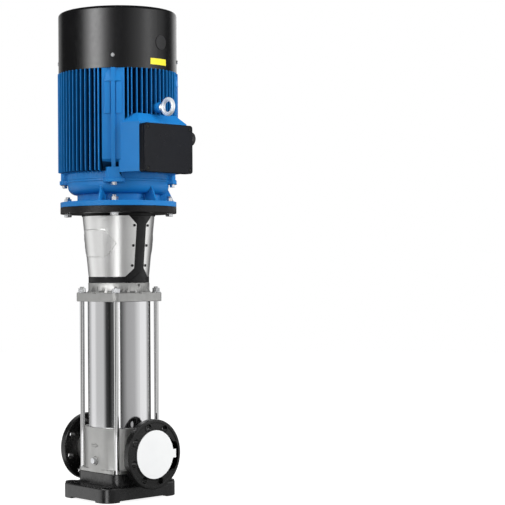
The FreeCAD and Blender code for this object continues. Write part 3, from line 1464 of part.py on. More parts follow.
def fan_cover_trim():
    level = frame_top + v.cover_screw_rise
    face = v.fan_cover_radius
    screw = rod(v.cover_screw_head_radius, 0, v.cover_screw_head_height).fuse(
        rod(v.cover_screw_radius, -v.fan_cover_wall, 0))
    screws = []
    for corner in range(CORNERS):
        angle = 45 + 90 * corner
        spot = Rotation(Vector(0, 0, 1), angle).multVec(Vector(face.value, 0, level.value))
        screws.append(placed(screw, spot.x, spot.y, spot.z, outward(angle)))
    group("cover_screws", screws)
    plug_low = frame_top + v.cover_plug_rise - v.cover_plug_radius
    skin_outer = rod(face + v.cover_plug_thickness, plug_low, plug_low + v.cover_plug_radius * 2)
    skin = skin_outer.cut(rod(face, plug_low, plug_low + v.cover_plug_radius * 2))
    punch = placed(rod(v.cover_plug_radius, 0, face + v.cover_plug_thickness * 2), 0, 0,
                   frame_top + v.cover_plug_rise, outward(v.cover_plug_turn.value))
    group("cover_plug", [skin.common(punch)])


def terminal_box():
    """The box on the saddle, its lid, screws and board. Local axes: up is out of the motor."""
    half_z = v.box_height / 2
    half_y = v.box_width / 2
    centre = box_level + half_z

    def stand(thing, reach):
        thing.Placement = Placement(Vector(0, 0, 0), Rotation(Vector(0, 1, 0), 90))
        bind(thing, ".Placement.Base.x", reach)
        bind(thing, ".Placement.Base.z", centre)

    box = new_body("box")
    pad(box, rectangle(new_sketch(box, "box_plan", "XY_Plane"), -half_z, half_z, -half_y, half_y), v.box_depth)
    ease(box, v.box_corner, is_upright)
    inside = rectangle(new_sketch(box, "box_inside", "XY_Plane", v.box_depth),
                       v.box_wall - half_z, half_z - v.box_wall, v.box_wall + v.lid_screw_inset * 1.5 - half_y,
                       half_y - v.box_wall - v.lid_screw_inset * 1.5)
    pocket(box, inside, v.box_depth - v.box_wall)
    lid = new_body("lid")
    pad(lid, rectangle(new_sketch(lid, "lid_plan", "XY_Plane"), -half_z, half_z, -half_y, half_y), v.lid_thickness)
    ease(lid, v.box_corner, is_upright)
    ease(lid, v.lid_edge, lambda edge: lies_at(edge, v.lid_thickness))
    sinks = new_sketch(lid, "lid_sinks", "XY_Plane", v.lid_thickness)
    screw_holes = new_sketch(lid, "lid_screw_holes", "XY_Plane", v.lid_thickness)
    box_holes = new_sketch(box, "box_screw_holes", "XY_Plane", v.box_depth)
    spots = [((half_z - v.lid_screw_inset) * a, (half_y - v.lid_screw_inset) * b)
             for a in (-1, 1) for b in (-1, 1)]
    for x, y in spots:
        circle(sinks, x, y, v.lid_screw_head_radius + v.bolt_gap)
        circle(screw_holes, x, y, v.lid_screw_radius + v.fit_gap)
        circle(box_holes, x, y, v.lid_screw_radius + v.fit_gap)
    pocket(lid, sinks, v.lid_screw_sink)
    pocket(lid, screw_holes)
    pocket(box, box_holes, v.box_depth - v.box_wall)
    stand(box, v.saddle_reach)
    stand(lid, v.saddle_reach + v.box_depth)
    keep(box, "terminal_box")
    keep(lid, "terminal_box_lid")
    seat = v.saddle_reach + v.box_depth + v.lid_thickness - v.lid_screw_sink
    grip = v.lid_thickness - v.lid_screw_sink + v.box_depth / 2
    screw = rod(v.lid_screw_head_radius, 0, v.lid_screw_sink - 0.5).fuse(rod(v.lid_screw_radius, -grip, 0))
    turn = Rotation(Vector(0, 1, 0), 90)
    group("lid_screws", [placed(screw, seat, y, centre + x, turn) for x, y in spots])
    board = new_body("board")
    plan = rectangle(new_sketch(board, "board_plan", "XY_Plane"), -v.board_height / 2, v.board_height / 2,
                     -v.board_width / 2, v.board_width / 2)
    pad(board, plan, v.board_thickness)
    stand(board, v.saddle_reach + v.box_wall)
    keep(board, "terminal_board")


def entry_plug():
    """The blanking plug in the cable entry at the saddle's side."""
    thread = rod(v.plug_thread_radius, -v.plug_thread_length, 0)
    collar = rod(v.plug_radius, 0, v.plug_collar)
    cap = rod(v.plug_cap_radius, v.plug_collar, v.plug_length)
    group("entry_plug", [placed(thread.fuse([collar, cap]), v.saddle_reach - v.entry_setback,
                                v.entry_boss_reach, frame_level + v.entry_rise, outward(90))])


def lifting_eye():
    shank = rod(v.eye_shank_radius, -v.eye_shank_length, v.eye_collar_thickness)
    collar = rod(v.eye_collar_radius, 0, v.eye_collar_thickness)
    ring = Part.makeTorus(v.eye_ring_radius.value, v.eye_section_radius.value, Vector(0, 0, v.eye_centre_reach.value),
                          Vector(0, 1, 0))
    group("lifting_eye", [placed(shank.fuse([collar, ring]), v.eye_boss_reach, 0,
                                 frame_level + v.eye_rise, outward(0))])


base_plate()
pump_chamber()
drain_plug()
port_flange("inlet_flange", -1, 360 / FLANGE_HOLES - v.flange_turn)
port_flange("outlet_flange", 1, v.flange_turn)
port_covers()
sleeve_and_seals()
tie_rods()
for stage in range(STAGES):
    stage_chamber(stage)
    impeller(stage)
stage_bushes()
clamp_ring()
pump_head()
vent_plug()
shaft_seal()
motor_stool()
stool_screws()
coupling_guard("coupling_guard_front", 0)
coupling_guard("coupling_guard_rear", 180)
guard_screws()
shaft_coupling()
drive_end_shield()
motor_frame()
motor_fasteners()
bearings()
shafts()
cores()
rear_end_shield()
cooling_fan()
fan_cover()
fan_cover_trim()
terminal_box()
entry_plug()
lifting_eye()
doc.recompute()

for thing in doc.Objects:
    if "Invalid" in thing.State or "Error" in thing.State:
        raise RuntimeError(f"{thing.Label} failed: {thing.State}")
for thing in finished:
    if thing.Shape.isNull() or not thing.Shape.isValid():
        raise RuntimeError(f"{thing.Label} has no valid shape")

os.makedirs("parts", exist_ok=True)
for thing in finished:
    thing.Shape.exportStep(f"parts/{thing.Label}.step")
    print(f"{thing.Label}: {len(thing.Shape.Solids)} solids, {thing.Shape.Volume / 1000:.1f} cm3")
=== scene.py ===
import json
import math

import bpy
from mathutils import Matrix, Vector

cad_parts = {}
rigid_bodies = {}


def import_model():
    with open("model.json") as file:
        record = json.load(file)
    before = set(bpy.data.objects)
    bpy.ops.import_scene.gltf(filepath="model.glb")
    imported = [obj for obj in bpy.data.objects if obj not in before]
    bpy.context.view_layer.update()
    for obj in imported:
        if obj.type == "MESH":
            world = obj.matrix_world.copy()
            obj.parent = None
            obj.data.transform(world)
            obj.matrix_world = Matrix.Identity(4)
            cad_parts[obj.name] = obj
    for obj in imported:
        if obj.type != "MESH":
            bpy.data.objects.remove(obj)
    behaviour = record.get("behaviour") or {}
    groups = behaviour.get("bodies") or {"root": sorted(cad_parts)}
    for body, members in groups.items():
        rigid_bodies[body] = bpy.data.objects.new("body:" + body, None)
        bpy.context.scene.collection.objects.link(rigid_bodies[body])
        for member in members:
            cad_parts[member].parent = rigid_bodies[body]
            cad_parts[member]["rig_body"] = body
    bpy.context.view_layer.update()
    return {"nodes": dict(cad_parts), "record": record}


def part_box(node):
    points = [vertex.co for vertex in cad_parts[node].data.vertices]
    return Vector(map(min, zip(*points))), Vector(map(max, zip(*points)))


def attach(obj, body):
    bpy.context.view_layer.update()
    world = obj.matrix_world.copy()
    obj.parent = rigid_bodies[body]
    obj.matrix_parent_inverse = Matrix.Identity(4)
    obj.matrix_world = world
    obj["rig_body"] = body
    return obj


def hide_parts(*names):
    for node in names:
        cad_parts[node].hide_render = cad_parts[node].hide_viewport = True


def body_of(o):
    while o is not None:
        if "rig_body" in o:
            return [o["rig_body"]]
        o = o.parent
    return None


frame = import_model()

# Read from the frame: each node's material slot, the fan cover's top and radius, the motor frame's foot
SLOT_OF = {part["node"]: part["material_slot"] for part in frame["record"]["subparts"]}
COVER_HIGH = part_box("fan_cover")[1].z
COVER_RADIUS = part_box("fan_cover")[1].x
MOTOR_FRAME_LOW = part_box("motor_frame")[0].z

# The photograph's camera, in metres, in pixels of its 505 by 505 frame, and a sensor width in millimetres
FRAME_PIXELS = 505
CAMERA_DISTANCE = 5.1
CAMERA_HEIGHT = 0.778
CAMERA_ANGLE = math.radians(-40.5)
CAMERA_ROLL = math.radians(-0.33)
METRES_PER_PIXEL = 0.00345
AXIS_PIXEL = 118.8
HORIZON_PIXEL = 270
SENSOR_WIDTH = 36

# Making pieces: how near two points are merged, which turns count as flat and as sharp, and up to which
# turn a surface, or the facets of a casting, are shaded as one; and the angles of the four corners
MERGE_REACH = 0.00001
FLAT_TURN = math.radians(0.5)
SHARP_TURN = math.radians(35)
SMOOTH_TURN = math.radians(34)
FACET_TURN = math.radians(13)
CORNER_ANGLES = [math.radians(45 + 90 * corner) for corner in range(4)]

# Sides of the round pieces
THREAD_SIDES = 24
BAR_SIDES = 40
TURNED_SIDES = 48
RING_SIDES = 96
PATCH_SIDES = 180

# Between which values a noise pattern mostly lies
NOISE_LOW = 0.3
NOISE_HIGH = 0.7

# Enamels: colour, clouded colour, roughness, height of the grain in metres, weight of the clear skin and
# strength of the plain reflection
MOTOR_BLUE = ((0.008, 0.185, 0.520), (0.007, 0.165, 0.470), 0.4, 0.0001, 0.05, 0.25)
COVER_BLACK = ((0.004, 0.004, 0.0045), (0.006, 0.006, 0.0065), 0.2, 0.0001, 0, 0.5)
CASTING_BLACK = ((0.005, 0.005, 0.0055), (0.008, 0.008, 0.0085), 0.24, 0.0004, 0, 0.8)
FLANGE_BLACK = ((0.005, 0.005, 0.005), (0.008, 0.008, 0.008), 0.26, 0.0004, 0, 0.5)
STOOL_BLACK = ((0.003, 0.003, 0.0035), (0.005, 0.005, 0.0055), 0.34, 0.0006, 0, 0.28)
BOX_BLACK = ((0.003, 0.0035, 0.006), (0.004, 0.005, 0.008), 0.34, 0.00004, 0, 0.22)
SKIN_ROUGHNESS = 0.12

# The painted shade in the gaps between the motor's fins: radius of their bottom and of the fin tips,
# painted brightness at the bottom, and what stays unshaded: the collar up to a height, and the corner pads,
# where the distances from the two side planes through the axis have a product above this one
GAP_RADIUS = 0.193
FIN_RADIUS = 0.2078
GAP_PAINTED_SHADE = 0.2
GAP_FOOT = 0.024
PAD_PRODUCT = 0.018

# Nuts, bolts and rods, in metres
ROD_RADIUS = 0.008
ROD_CIRCLE = 0.128
ROD_NUT_FLATS = 0.024
ROD_END_TURNS = 3
NUT_HEIGHT = 0.013
BORE_PLAY = 0.00005
FLANGE_BOLT_CIRCLE = 0.175
FLANGE_BOLT_FLATS = 0.024
FLANGE_BOLT_HEAD = 0.010
FLANGE_BOLT_TURNS = 4
SHIELD_BOLT_CIRCLE = 0.186
SHIELD_BOLT_FLATS = 0.017
SHIELD_BOLT_HEAD = 0.010
SHIELD_BOLT_RADIUS = 0.005
THREAD_PITCH = 0.0018
THREAD_BEVEL = 0.42

# A hexagon: half the angle of a side, the slope of its turned corners, the radius of the flat face in
# widths across flats, and how far the turning cone reaches below and above the piece in its heights
HALF_SIDE = math.radians(30)
TURNED_SLOPE = math.radians(30)
FACE_SHARE = 0.475
CONE_BELOW = 0.5
CONE_ABOVE = 0.25

# The yellow strip on the fan cover, and how far its inner face stands off
PATCH_LOW = 1.464
PATCH_HIGH = 1.485
PATCH_ANGLE = math.radians(2)
PATCH_HALF_ANGLE = math.radians(10)
PATCH_THICKNESS = 0.0003
PATCH_LIFT = PATCH_THICKNESS / 4

# The eyebolt, whose cone starts at a seat inside its boss and sinks into the ring
EYE_RING_RADIUS = 0.0245
EYE_SECTION_RADIUS = 0.007
EYE_FOOT_RADIUS = 0.0125
EYE_SEAT = 0.226
EYE_SINK = EYE_SECTION_RADIUS / 3
EYE_RING_STEPS = 64
EYE_SECTION_STEPS = 20

# The bead round the raised panel of a coupling guard, and how much the guard's radius grows with height
BEAD_SHOULDER = 0.053
BEAD_POINT = 0.083
BEAD_LOW = 0.823
BEAD_HIGH = 0.915
BEAD_RADIUS = 0.0014
BEAD_LIFT = 0.0008
BEAD_STEPS = 14
BEAD_ROUNDNESS = 3
CONE_SLOPE = 20 / 207

# The crests on the motor's side pads: the face they start from, their size, ridge, lean and taper
CREST_FACE = 0.2035
CREST_DEPTH = 0.012
CREST_WIDTH = 0.058
CREST_LOW = 1.405
CREST_HEIGHT = 0.036
CREST_RIDGE = 0.005
CREST_LEAN = 0.004
CREST_TAPER = 0.35
CREST_EDGE = 0.0008

# The stage: its floor, the heights and radius of the tent round the pump in metres, and the brightness of
# the open backdrop in reflections and on dull faces
FLOOR_RADIUS = 9
FLOOR_COLOUR = (0.30, 0.30, 0.30)
FLOOR_GLOW = 0.86
TENT_RADIUS = 3.0
TENT_FOOT = -1.5
TENT_HEM = -0.1
TENT_SEAM = 1.2
TENT_TOP = 2.7
OPEN_BRIGHTNESS = 0.05
SHADE_BRIGHTNESS = 0.5
WHITE = (1, 1, 1, 1)

# The tent's rings: name, lower and upper edge, and stops round it, each an angle in degrees to the right
# of the camera and a brightness
TENT_WALLS = [
    ("foot_tent_wall", TENT_FOOT, TENT_HEM, [
        (-180, 0.1), (-130, 0.3), (-114, 1.3), (-62, 1.1), (-48, 0.1), (-24, 0.1), (-18, 3), (-3, 3),
        (4, 0.12), (40, 0.12), (70, 0.22), (120, 0.25), (150, 0.1), (180, 0.1),
    ]),
    ("low_tent_wall", TENT_HEM, TENT_SEAM, [
        (-180, 0.05), (-150, 0.06), (-116, 0.95), (-100, 0.95), (-90, 0.66), (-60, 0.64), (-48, 0.06),
        (-34, 0.01), (-24, 0.12), (-12, 0.02), (-8, 1.9), (0, 1.9), (4, 0.03), (28, 0.45), (56, 0.52),
        (84, 1.0), (112, 1.05), (130, 0.2), (145, 0.05), (180, 0.05),
    ]),
    ("high_tent_wall", TENT_SEAM, TENT_TOP, [
        (-180, 0.6), (-142, 0.35), (-130, 0.03), (-82, 0.06), (-70, 0.5), (-58, 3.4), (-47, 7.8),
        (-36, 7.2), (-25, 2.8), (-15, 0.8), (-3, 0.25), (10, 0.18), (22, 0.4), (42, 1.0), (60, 2.3),
        (70, 1.4), (84, 0.7), (96, 0.4), (106, 0.05), (122, 0.07), (140, 1.1), (180, 1.4),
    ]),
]

# The softboxes: name, angle in degrees to the right of the camera, height, reach from the axis, width and
# height of the cloth in metres, and power in watts
SOFTBOXES = [
    ("left_softbox", -60, 2.4, 3.2, (1.2, 2.2), 60),
    ("right_softbox", 60, 1.8, 3.2, (1.2, 2.2), 80),
    ("overhead_softbox", 10, 3.6, 0.8, (2.2, 2.2), 35),
]

bpy.ops.object.select_all(action="DESELECT")


# Materials


class Finish:
    """A material under construction: its nodes, links and shader."""

    def __init__(self, name, colour, roughness, metallic=0.0):
        self.material = bpy.data.materials.new(name)
        self.material.use_nodes = True
        self.nodes = self.material.node_tree.nodes
        self.links = self.material.node_tree.links
        self.shader = self.nodes["Principled BSDF"]
        self.shader.inputs["Base Color"].default_value = (*colour, 1)
        self.shader.inputs["Roughness"].default_value = roughness
        self.shader.inputs["Metallic"].default_value = metallic
        self.place = self.nodes.new("ShaderNodeTexCoord").outputs["Object"]

    def noise(self, scale, detail, stretch=(1, 1, 1)):
        """A noise pattern on the object's own coordinates, scale in features per metre."""
        mapping = self.nodes.new("ShaderNodeMapping")
        mapping.inputs["Scale"].default_value = stretch
        self.links.new(self.place, mapping.inputs["Vector"])
        texture = self.nodes.new("ShaderNodeTexNoise")
        texture.inputs["Scale"].default_value = scale
        texture.inputs["Detail"].default_value = detail
        self.links.new(mapping.outputs["Vector"], texture.inputs["Vector"])
        return texture.outputs["Fac"]

    def ranged(self, source, source_low, source_high, low, high):
        """Map one range of a pattern's values to another."""
        ramp = self.nodes.new("ShaderNodeMapRange")
        ramp.inputs["From Min"].default_value = source_low
        ramp.inputs["From Max"].default_value = source_high
        ramp.inputs["To Min"].default_value = low
        ramp.inputs["To Max"].default_value = high
        self.links.new(source, ramp.inputs["Value"])
        return ramp.outputs["Result"]

    def spread(self, noise, low, high):
        """Map a noise pattern to a range of values."""
        return self.ranged(noise, NOISE_LOW, NOISE_HIGH, low, high)

    def blend_colours(self, noise, first, second):
        mix = self.nodes.new("ShaderNodeMix")
        mix.data_type = "RGBA"
        mix.inputs["A"].default_value = (*first, 1)
        mix.inputs["B"].default_value = (*second, 1)
        self.links.new(self.spread(noise, 0, 1), mix.inputs["Factor"])
        self.links.new(mix.outputs["Result"], self.shader.inputs["Base Color"])

    def vary_roughness(self, noise, low, high):
        self.links.new(self.spread(noise, low, high), self.shader.inputs["Roughness"])

    def bump(self, noise, height, strength):
        """Raise the surface by a pattern, height in metres."""
        bump = self.nodes.new("ShaderNodeBump")
        bump.inputs["Distance"].default_value = height
        bump.inputs["Strength"].default_value = strength
        self.links.new(noise, bump.inputs["Height"])
        self.links.new(bump.outputs["Normal"], self.shader.inputs["Normal"])

    def maths(self, operation, first, second):
        """One step of arithmetic on patterns and numbers."""
        step = self.nodes.new("ShaderNodeMath")
        step.operation = operation
        for socket, value in zip(step.inputs, (first, second)):
            if isinstance(value, (int, float)):
                socket.default_value = value
            else:
                self.links.new(value, socket)
        return step.outputs["Value"]

    def paint_gap_shade(self, near, far, share, foot, spared):
        """Paint shade into the colour: darker towards the shaft axis above a height, but not on the corner
        pads.
        """
        split = self.nodes.new("ShaderNodeSeparateXYZ")
        self.links.new(self.place, split.inputs["Vector"])
        across, along = split.outputs["X"], split.outputs["Y"]
        squares = self.maths("ADD", self.maths("MULTIPLY", across, across),
                             self.maths("MULTIPLY", along, along))
        depth = self.ranged(self.maths("POWER", squares, 0.5), near, far, share, 1)
        corner = self.maths("POWER", self.maths("MULTIPLY", across, along), 2)
        plain = self.maths("MAXIMUM", self.maths("GREATER_THAN", corner, spared ** 2),
                           self.maths("LESS_THAN", split.outputs["Z"], foot))
        # painted shade: the base colour is scaled down towards the bottom of the gaps between the fins
        shade = self.nodes.new("ShaderNodeVectorMath")
        shade.operation = "SCALE"
        colour = self.shader.inputs["Base Color"]
        self.links.new(colour.links[0].from_socket, shade.inputs[0])
        self.links.new(self.maths("MAXIMUM", depth, plain), shade.inputs["Scale"])
        self.links.new(shade.outputs["Vector"], colour)


def enamel(name, colour, shade, roughness, grain, skin, shine):
    """Sprayed enamel over a casting or sheet: orange peel, faint cloudiness and a clear skin."""
    finish = Finish(name, colour, roughness)
    finish.blend_colours(finish.noise(9, 4), colour, shade)
    finish.vary_roughness(finish.noise(60, 2), roughness * 0.8, roughness * 1.25)
    finish.bump(finish.noise(700, 2), grain, 0.35)
    finish.shader.inputs["Coat Weight"].default_value = skin
    finish.shader.inputs["Specular IOR Level"].default_value = shine
    finish.shader.inputs["Coat Roughness"].default_value = SKIN_ROUGHNESS
    return finish


def finned_blue_with_painted_shade():
    """The motor's enamel, with painted shade darkening the bottom of the gaps between its fins."""
    finish = enamel("fin_enamel_with_painted_gap_shade", *MOTOR_BLUE)
    # painted shade at the bottom of the gaps between the fins
    finish.paint_gap_shade(GAP_RADIUS, FIN_RADIUS, GAP_PAINTED_SHADE, MOTOR_FRAME_LOW + GAP_FOOT, PAD_PRODUCT)
    return finish


def blasted_steel():
    """Glass-bead blasted stainless casting: fine even grain and slow patches."""
    finish = Finish("blasted_stainless_casting", (0.50, 0.50, 0.49), 0.42, 1.0)
    finish.blend_colours(finish.noise(14, 5), (0.55, 0.55, 0.54), (0.46, 0.46, 0.45))
    finish.vary_roughness(finish.noise(45, 3), 0.44, 0.52)
    finish.bump(finish.noise(1400, 3), 0.0002, 0.3)
    return finish


def polished_steel():
    """Rolled and polished tube: a mirror with faint lengthwise draw marks."""
    finish = Finish("polished_stainless_tube", (0.74, 0.74, 0.75), 0.09, 1.0)
    lines = finish.noise(260, 2, (1, 1, 0.02))
    finish.vary_roughness(lines, 0.07, 0.12)
    finish.bump(lines, 0.00001, 0.3)
    return finish


def bright_rod():
    """Drawn bar, bright, with faint marks along it."""
    finish = Finish("bright_drawn_rod", (0.78, 0.78, 0.78), 0.14, 1.0)
    finish.vary_roughness(finish.noise(20, 2, (1, 1, 0.05)), 0.03, 0.08)
    return finish


def zinc_plate():
    """Thin bright zinc with a fine crystal grain."""
    finish = Finish("bright_zinc_plate", (0.70, 0.71, 0.73), 0.25, 1.0)
    finish.blend_colours(finish.noise(80, 3), (0.74, 0.75, 0.77), (0.60, 0.61, 0.62))
    finish.vary_roughness(finish.noise(150, 3), 0.2, 0.36)
    finish.bump(finish.noise(900, 2), 0.0001, 0.3)
    return finish


def galvanised():
    """Dipped zinc on a forging: pale, soft and faintly clouded."""
    finish = Finish("galvanised_forging", (0.84, 0.87, 0.90), 0.4, 0.45)
    finish.blend_colours(finish.noise(160, 3), (0.86, 0.89, 0.92), (0.76, 0.79, 0.83))
    finish.vary_roughness(finish.noise(240, 2), 0.34, 0.46)
    finish.bump(finish.noise(700, 3), 0.0001, 0.3)
    return finish


def dark_oxide():
    """Blackened steel of the small screws."""
    finish = Finish("dark_oxide_screw", (0.03, 0.03, 0.03), 0.42, 0.8)
    finish.vary_roughness(finish.noise(300, 2), 0.35, 0.5)
    finish.bump(finish.noise(900, 2), 0.0001, 0.3)
    return finish


def brushed_sheet():
    """Stainless sheet brushed round the axis."""
    finish = Finish("brushed_stainless_sheet", (0.92, 0.92, 0.91), 0.3, 1.0)
    lines = finish.noise(260, 2, (0.03, 0.03, 8))
    finish.blend_colours(lines, (0.94, 0.94, 0.93), (0.90, 0.90, 0.89))
    finish.vary_roughness(lines, 0.30, 0.36)
    return finish


def white_film():
    """The stick-on port covers: matt film with slow waves."""
    finish = Finish("white_port_film", (0.86, 0.87, 0.87), 0.34)
    finish.blend_colours(finish.noise(7, 3), (0.88, 0.89, 0.89), (0.82, 0.83, 0.84))
    finish.vary_roughness(finish.noise(30, 3), 0.28, 0.42)
    finish.bump(finish.noise(30, 3), 0.0005, 0.3)
    return finish


def yellow_film():
    """The plain strip on the fan cover."""
    finish = Finish("yellow_vinyl_film", (0.85, 0.72, 0.03), 0.36)
    finish.blend_colours(finish.noise(40, 3), (0.87, 0.75, 0.03), (0.78, 0.66, 0.03))
    finish.vary_roughness(finish.noise(120, 3), 0.28, 0.42)
    finish.bump(finish.noise(300, 2), 0.00005, 0.3)
    return finish


def moulded_plastic():
    finish = Finish("moulded_black_plastic", (0.016, 0.016, 0.017), 0.4)
    finish.vary_roughness(finish.noise(90, 3), 0.34, 0.5)
    finish.bump(finish.noise(1600, 2), 0.0002, 0.4)
    return finish


def seal_rubber():
    finish = Finish("seal_rubber", (0.02, 0.02, 0.02), 0.62)
    finish.bump(finish.noise(900, 2), 0.0001, 0.4)
    return finish


def machined_steel():
    """Steel with fine turning marks round the axis."""
    finish = Finish("machined_steel", (0.55, 0.55, 0.56), 0.28, 1.0)
    lines = finish.noise(500, 2, (0.1, 0.1, 1))
    finish.vary_roughness(lines, 0.22, 0.36)
    finish.bump(lines, 0.00003, 0.4)
    return finish


def bush_bronze():
    finish = Finish("bearing_bronze", (0.55, 0.36, 0.17), 0.32, 1.0)
    finish.vary_roughness(finish.noise(200, 2), 0.26, 0.4)
    return finish


def seal_carbon():
    finish = Finish("lapped_carbon", (0.03, 0.03, 0.032), 0.3)
    finish.vary_roughness(finish.noise(200, 2), 0.24, 0.36)
    return finish


def winding_copper():
    """Varnished wire, with its strands along the axis."""
    finish = Finish("varnished_winding", (0.42, 0.15, 0.05), 0.35, 0.7)
    finish.bump(finish.noise(400, 2, (1, 1, 0.2)), 0.0006, 0.6)
    return finish


def stacked_sheets():
    """The core's punched sheets, one on another."""
    finish = Finish("stacked_laminations", (0.28, 0.28, 0.30), 0.4, 1.0)
    finish.bump(finish.noise(900, 1, (0.02, 0.02, 1)), 0.0002, 0.6)
    return finish


def machined_iron():
    finish = Finish("machined_iron", (0.25, 0.25, 0.26), 0.38, 1.0)
    finish.vary_roughness(finish.noise(120, 3), 0.32, 0.46)
    finish.bump(finish.noise(700, 2), 0.0001, 0.3)
    return finish


# The record's material slots and the finish each one gets
FINISHES = {
    "base_paint": enamel("black_casting_enamel", *CASTING_BLACK),
    "chamber_steel": blasted_steel(),
    "sleeve_steel": polished_steel(),
    "rod_steel": bright_rod(),
    "bright_zinc": zinc_plate(),
    "dark_screw": dark_oxide(),
    "flange_paint": enamel("black_flange_enamel", *FLANGE_BLACK),
    "stool_paint": enamel("stool_black_enamel", *STOOL_BLACK),
    "guard_sheet": brushed_sheet(),
    "motor_paint": enamel("motor_blue_enamel", *MOTOR_BLUE),
    "cover_paint": enamel("fan_cover_black_enamel", *COVER_BLACK),
    "box_paint": enamel("terminal_box_enamel", *BOX_BLACK),
    "white_film": white_film(),
    "black_plastic": moulded_plastic(),
    "seal_rubber": seal_rubber(),
    "stage_steel": machined_steel(),
    "bush_bronze": bush_bronze(),
    "seal_carbon": seal_carbon(),
    "shaft_steel": machined_steel(),
    "coupling_iron": machined_iron(),
    "core_steel": stacked_sheets(),
    "winding_copper": winding_copper(),
    "bearing_steel": machined_steel(),
}

# The nodes whose finish is their own, not their slot's
OWN_FINISHES = {
    # the motor frame's blue has painted shade at the bottom of the gaps between its fins
    "motor_frame": finned_blue_with_painted_shade(),
    "lifting_eye": galvanised(),
    "lid_screws": FINISHES["dark_screw"],
}


def paint(piece, finish):
    piece.data.materials.clear()
    piece.data.materials.append(finish.material)


def finish_of(node, slot):
    return OWN_FINISHES.get(node, FINISHES[slot])


def paint_the_frame():
    """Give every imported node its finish."""
    for node, slot in SLOT_OF.items():
        paint(frame["nodes"][node], finish_of(node, slot))


# How a piece is made


def pick_only(piece):
    bpy.ops.object.select_all(action="DESELECT")
    piece.select_set(True)
    bpy.context.view_layer.objects.active = piece


def named(name):
    """Call the primitive that was just added by this name, with its place in its mesh."""
    piece = bpy.context.object
    piece.name = name
    pick_only(piece)
    bpy.ops.object.transform_apply(location=True, rotation=True, scale=True)
    return piece


def added(piece):
    """Put a new object in the scene."""
    bpy.context.scene.collection.objects.link(piece)
    return piece


def worked(piece, kind, **settings):
    """Add a modifier with these settings and apply it."""
    pick_only(piece)
    modifier = piece.modifiers.new(kind.lower(), kind)
    for setting, value in settings.items():
        setattr(modifier, setting, value)
    bpy.ops.object.modifier_apply(modifier=modifier.name)


def round_edges(piece, width, segments=2, harden=False):
    worked(piece, "BEVEL", width=width, segments=segments, limit_method="ANGLE", angle_limit=SHARP_TURN,
           use_clamp_overlap=False, harden_normals=harden)


def smooth(piece, turn=SMOOTH_TURN):
    pick_only(piece)
    bpy.ops.object.shade_smooth_by_angle(angle=turn)


def one_of(*parts):
    """Join pieces into the first of them."""
    pick_only(parts[0])
    for part in parts:
        part.select_set(True)
    bpy.ops.object.join()
    return parts[0]


def moved(piece, place):
    piece.data.transform(place)
    return piece


def copied(piece, place):
    """A copy with its own mesh, put elsewhere."""
    return moved(added(bpy.data.objects.new(piece.name, piece.data.copy())), place)


def round_the_axis(piece, reach, level):
    """Four of a piece at the corners, each turned outward, as one piece."""
    spots = [Matrix.Rotation(angle, 4, "Z") @ Matrix.Translation((reach, 0, level))
             for angle in CORNER_ANGLES]
    smooth(piece)
    others = [copied(piece, spot) for spot in spots[1:]]
    return one_of(moved(piece, spots[0]), *others)


def cut_to(piece, other, operation):
    """Combine a piece with another, which is used up."""
    worked(piece, "BOOLEAN", object=other, operation=operation, solver="EXACT")
    bpy.data.objects.remove(other)


def merged_copy(node, name):
    """A copy of a CAD node with its loose triangles merged and its flat faces made whole."""
    piece = added(bpy.data.objects.new(name, frame["nodes"][node].data.copy()))
    pick_only(piece)
    bpy.ops.object.mode_set(mode="EDIT")
    bpy.ops.mesh.select_all(action="SELECT")
    bpy.ops.mesh.remove_doubles(threshold=MERGE_REACH)
    bpy.ops.mesh.dissolve_limited(angle_limit=FLAT_TURN)
    bpy.ops.object.mode_set(mode="OBJECT")
    return piece


def carried(piece, node, slot):
    """Let a piece ride with a CAD node and take its finish, or else the finish of a slot."""
    paint(piece, finish_of(node, slot))
    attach(piece, body_of(frame["nodes"][node])[0])


def in_place_of(piece, node):
    """Let a piece take the place, body and finish of a CAD node."""
    carried(piece, node, SLOT_OF[node])
    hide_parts(node)


# Castings: the CAD shape with its edges broken as a foundry leaves them


# For each node, the new piece's name and the width of its broken edges in metres
BROKEN_EDGES = {
    "base_plate": ("base_casting", 0.0020),
    "pump_chamber": ("port_casting", 0.0012),
    "inlet_flange": ("inlet_ring", 0.0014),
    "outlet_flange": ("outlet_ring", 0.0014),
    "pump_head": ("head_casting", 0.0018),
    "motor_stool": ("stool_casting", 0.0014),
    "drive_end_shield": ("end_shield_casting", 0.0018),
    "motor_frame": ("finned_casting", 0.0009),
    "terminal_box": ("box_tray", 0.0012),
    "terminal_box_lid": ("box_lid", 0.0024),
    "entry_plug": ("entry_blind_plug", 0.0015),
    "drain_plug": ("drain_screw_plug", 0.0005),
    "vent_plug": ("vent_screw_plug", 0.0005),
}


def break_edges():
    for node, (name, width) in BROKEN_EDGES.items():
        piece = merged_copy(node, name)
        smooth(piece, FACET_TURN)
        round_edges(piece, width, harden=True)
        in_place_of(piece, node)


# Nuts, bolts and rods


def hexagon(name, flats, height):
    """A hexagon on z = 0 with the corners of its upper face turned off."""
    bpy.ops.mesh.primitive_cylinder_add(vertices=6, radius=flats / 2 / math.cos(HALF_SIDE), depth=height,
                                        location=(0, 0, height / 2))
    piece = named(name)
    run = height / math.tan(TURNED_SLOPE)
    face = flats * FACE_SHARE
    bpy.ops.mesh.primitive_cone_add(vertices=TURNED_SIDES, radius1=face + run * (1 + CONE_BELOW),
                                    radius2=face - run * CONE_ABOVE,
                                    depth=height * (1 + CONE_BELOW + CONE_ABOVE),
                                    location=(0, 0, height * (1 + CONE_ABOVE - CONE_BELOW) / 2))
    cut_to(piece, named("turning"), "INTERSECT")
    return piece


def head_down(name, flats, height):
    """A hexagon turned over, so that its turned corners point down."""
    return moved(hexagon(name, flats, height),
                 Matrix.Translation((0, 0, height)) @ Matrix.Rotation(math.pi, 4, "X"))


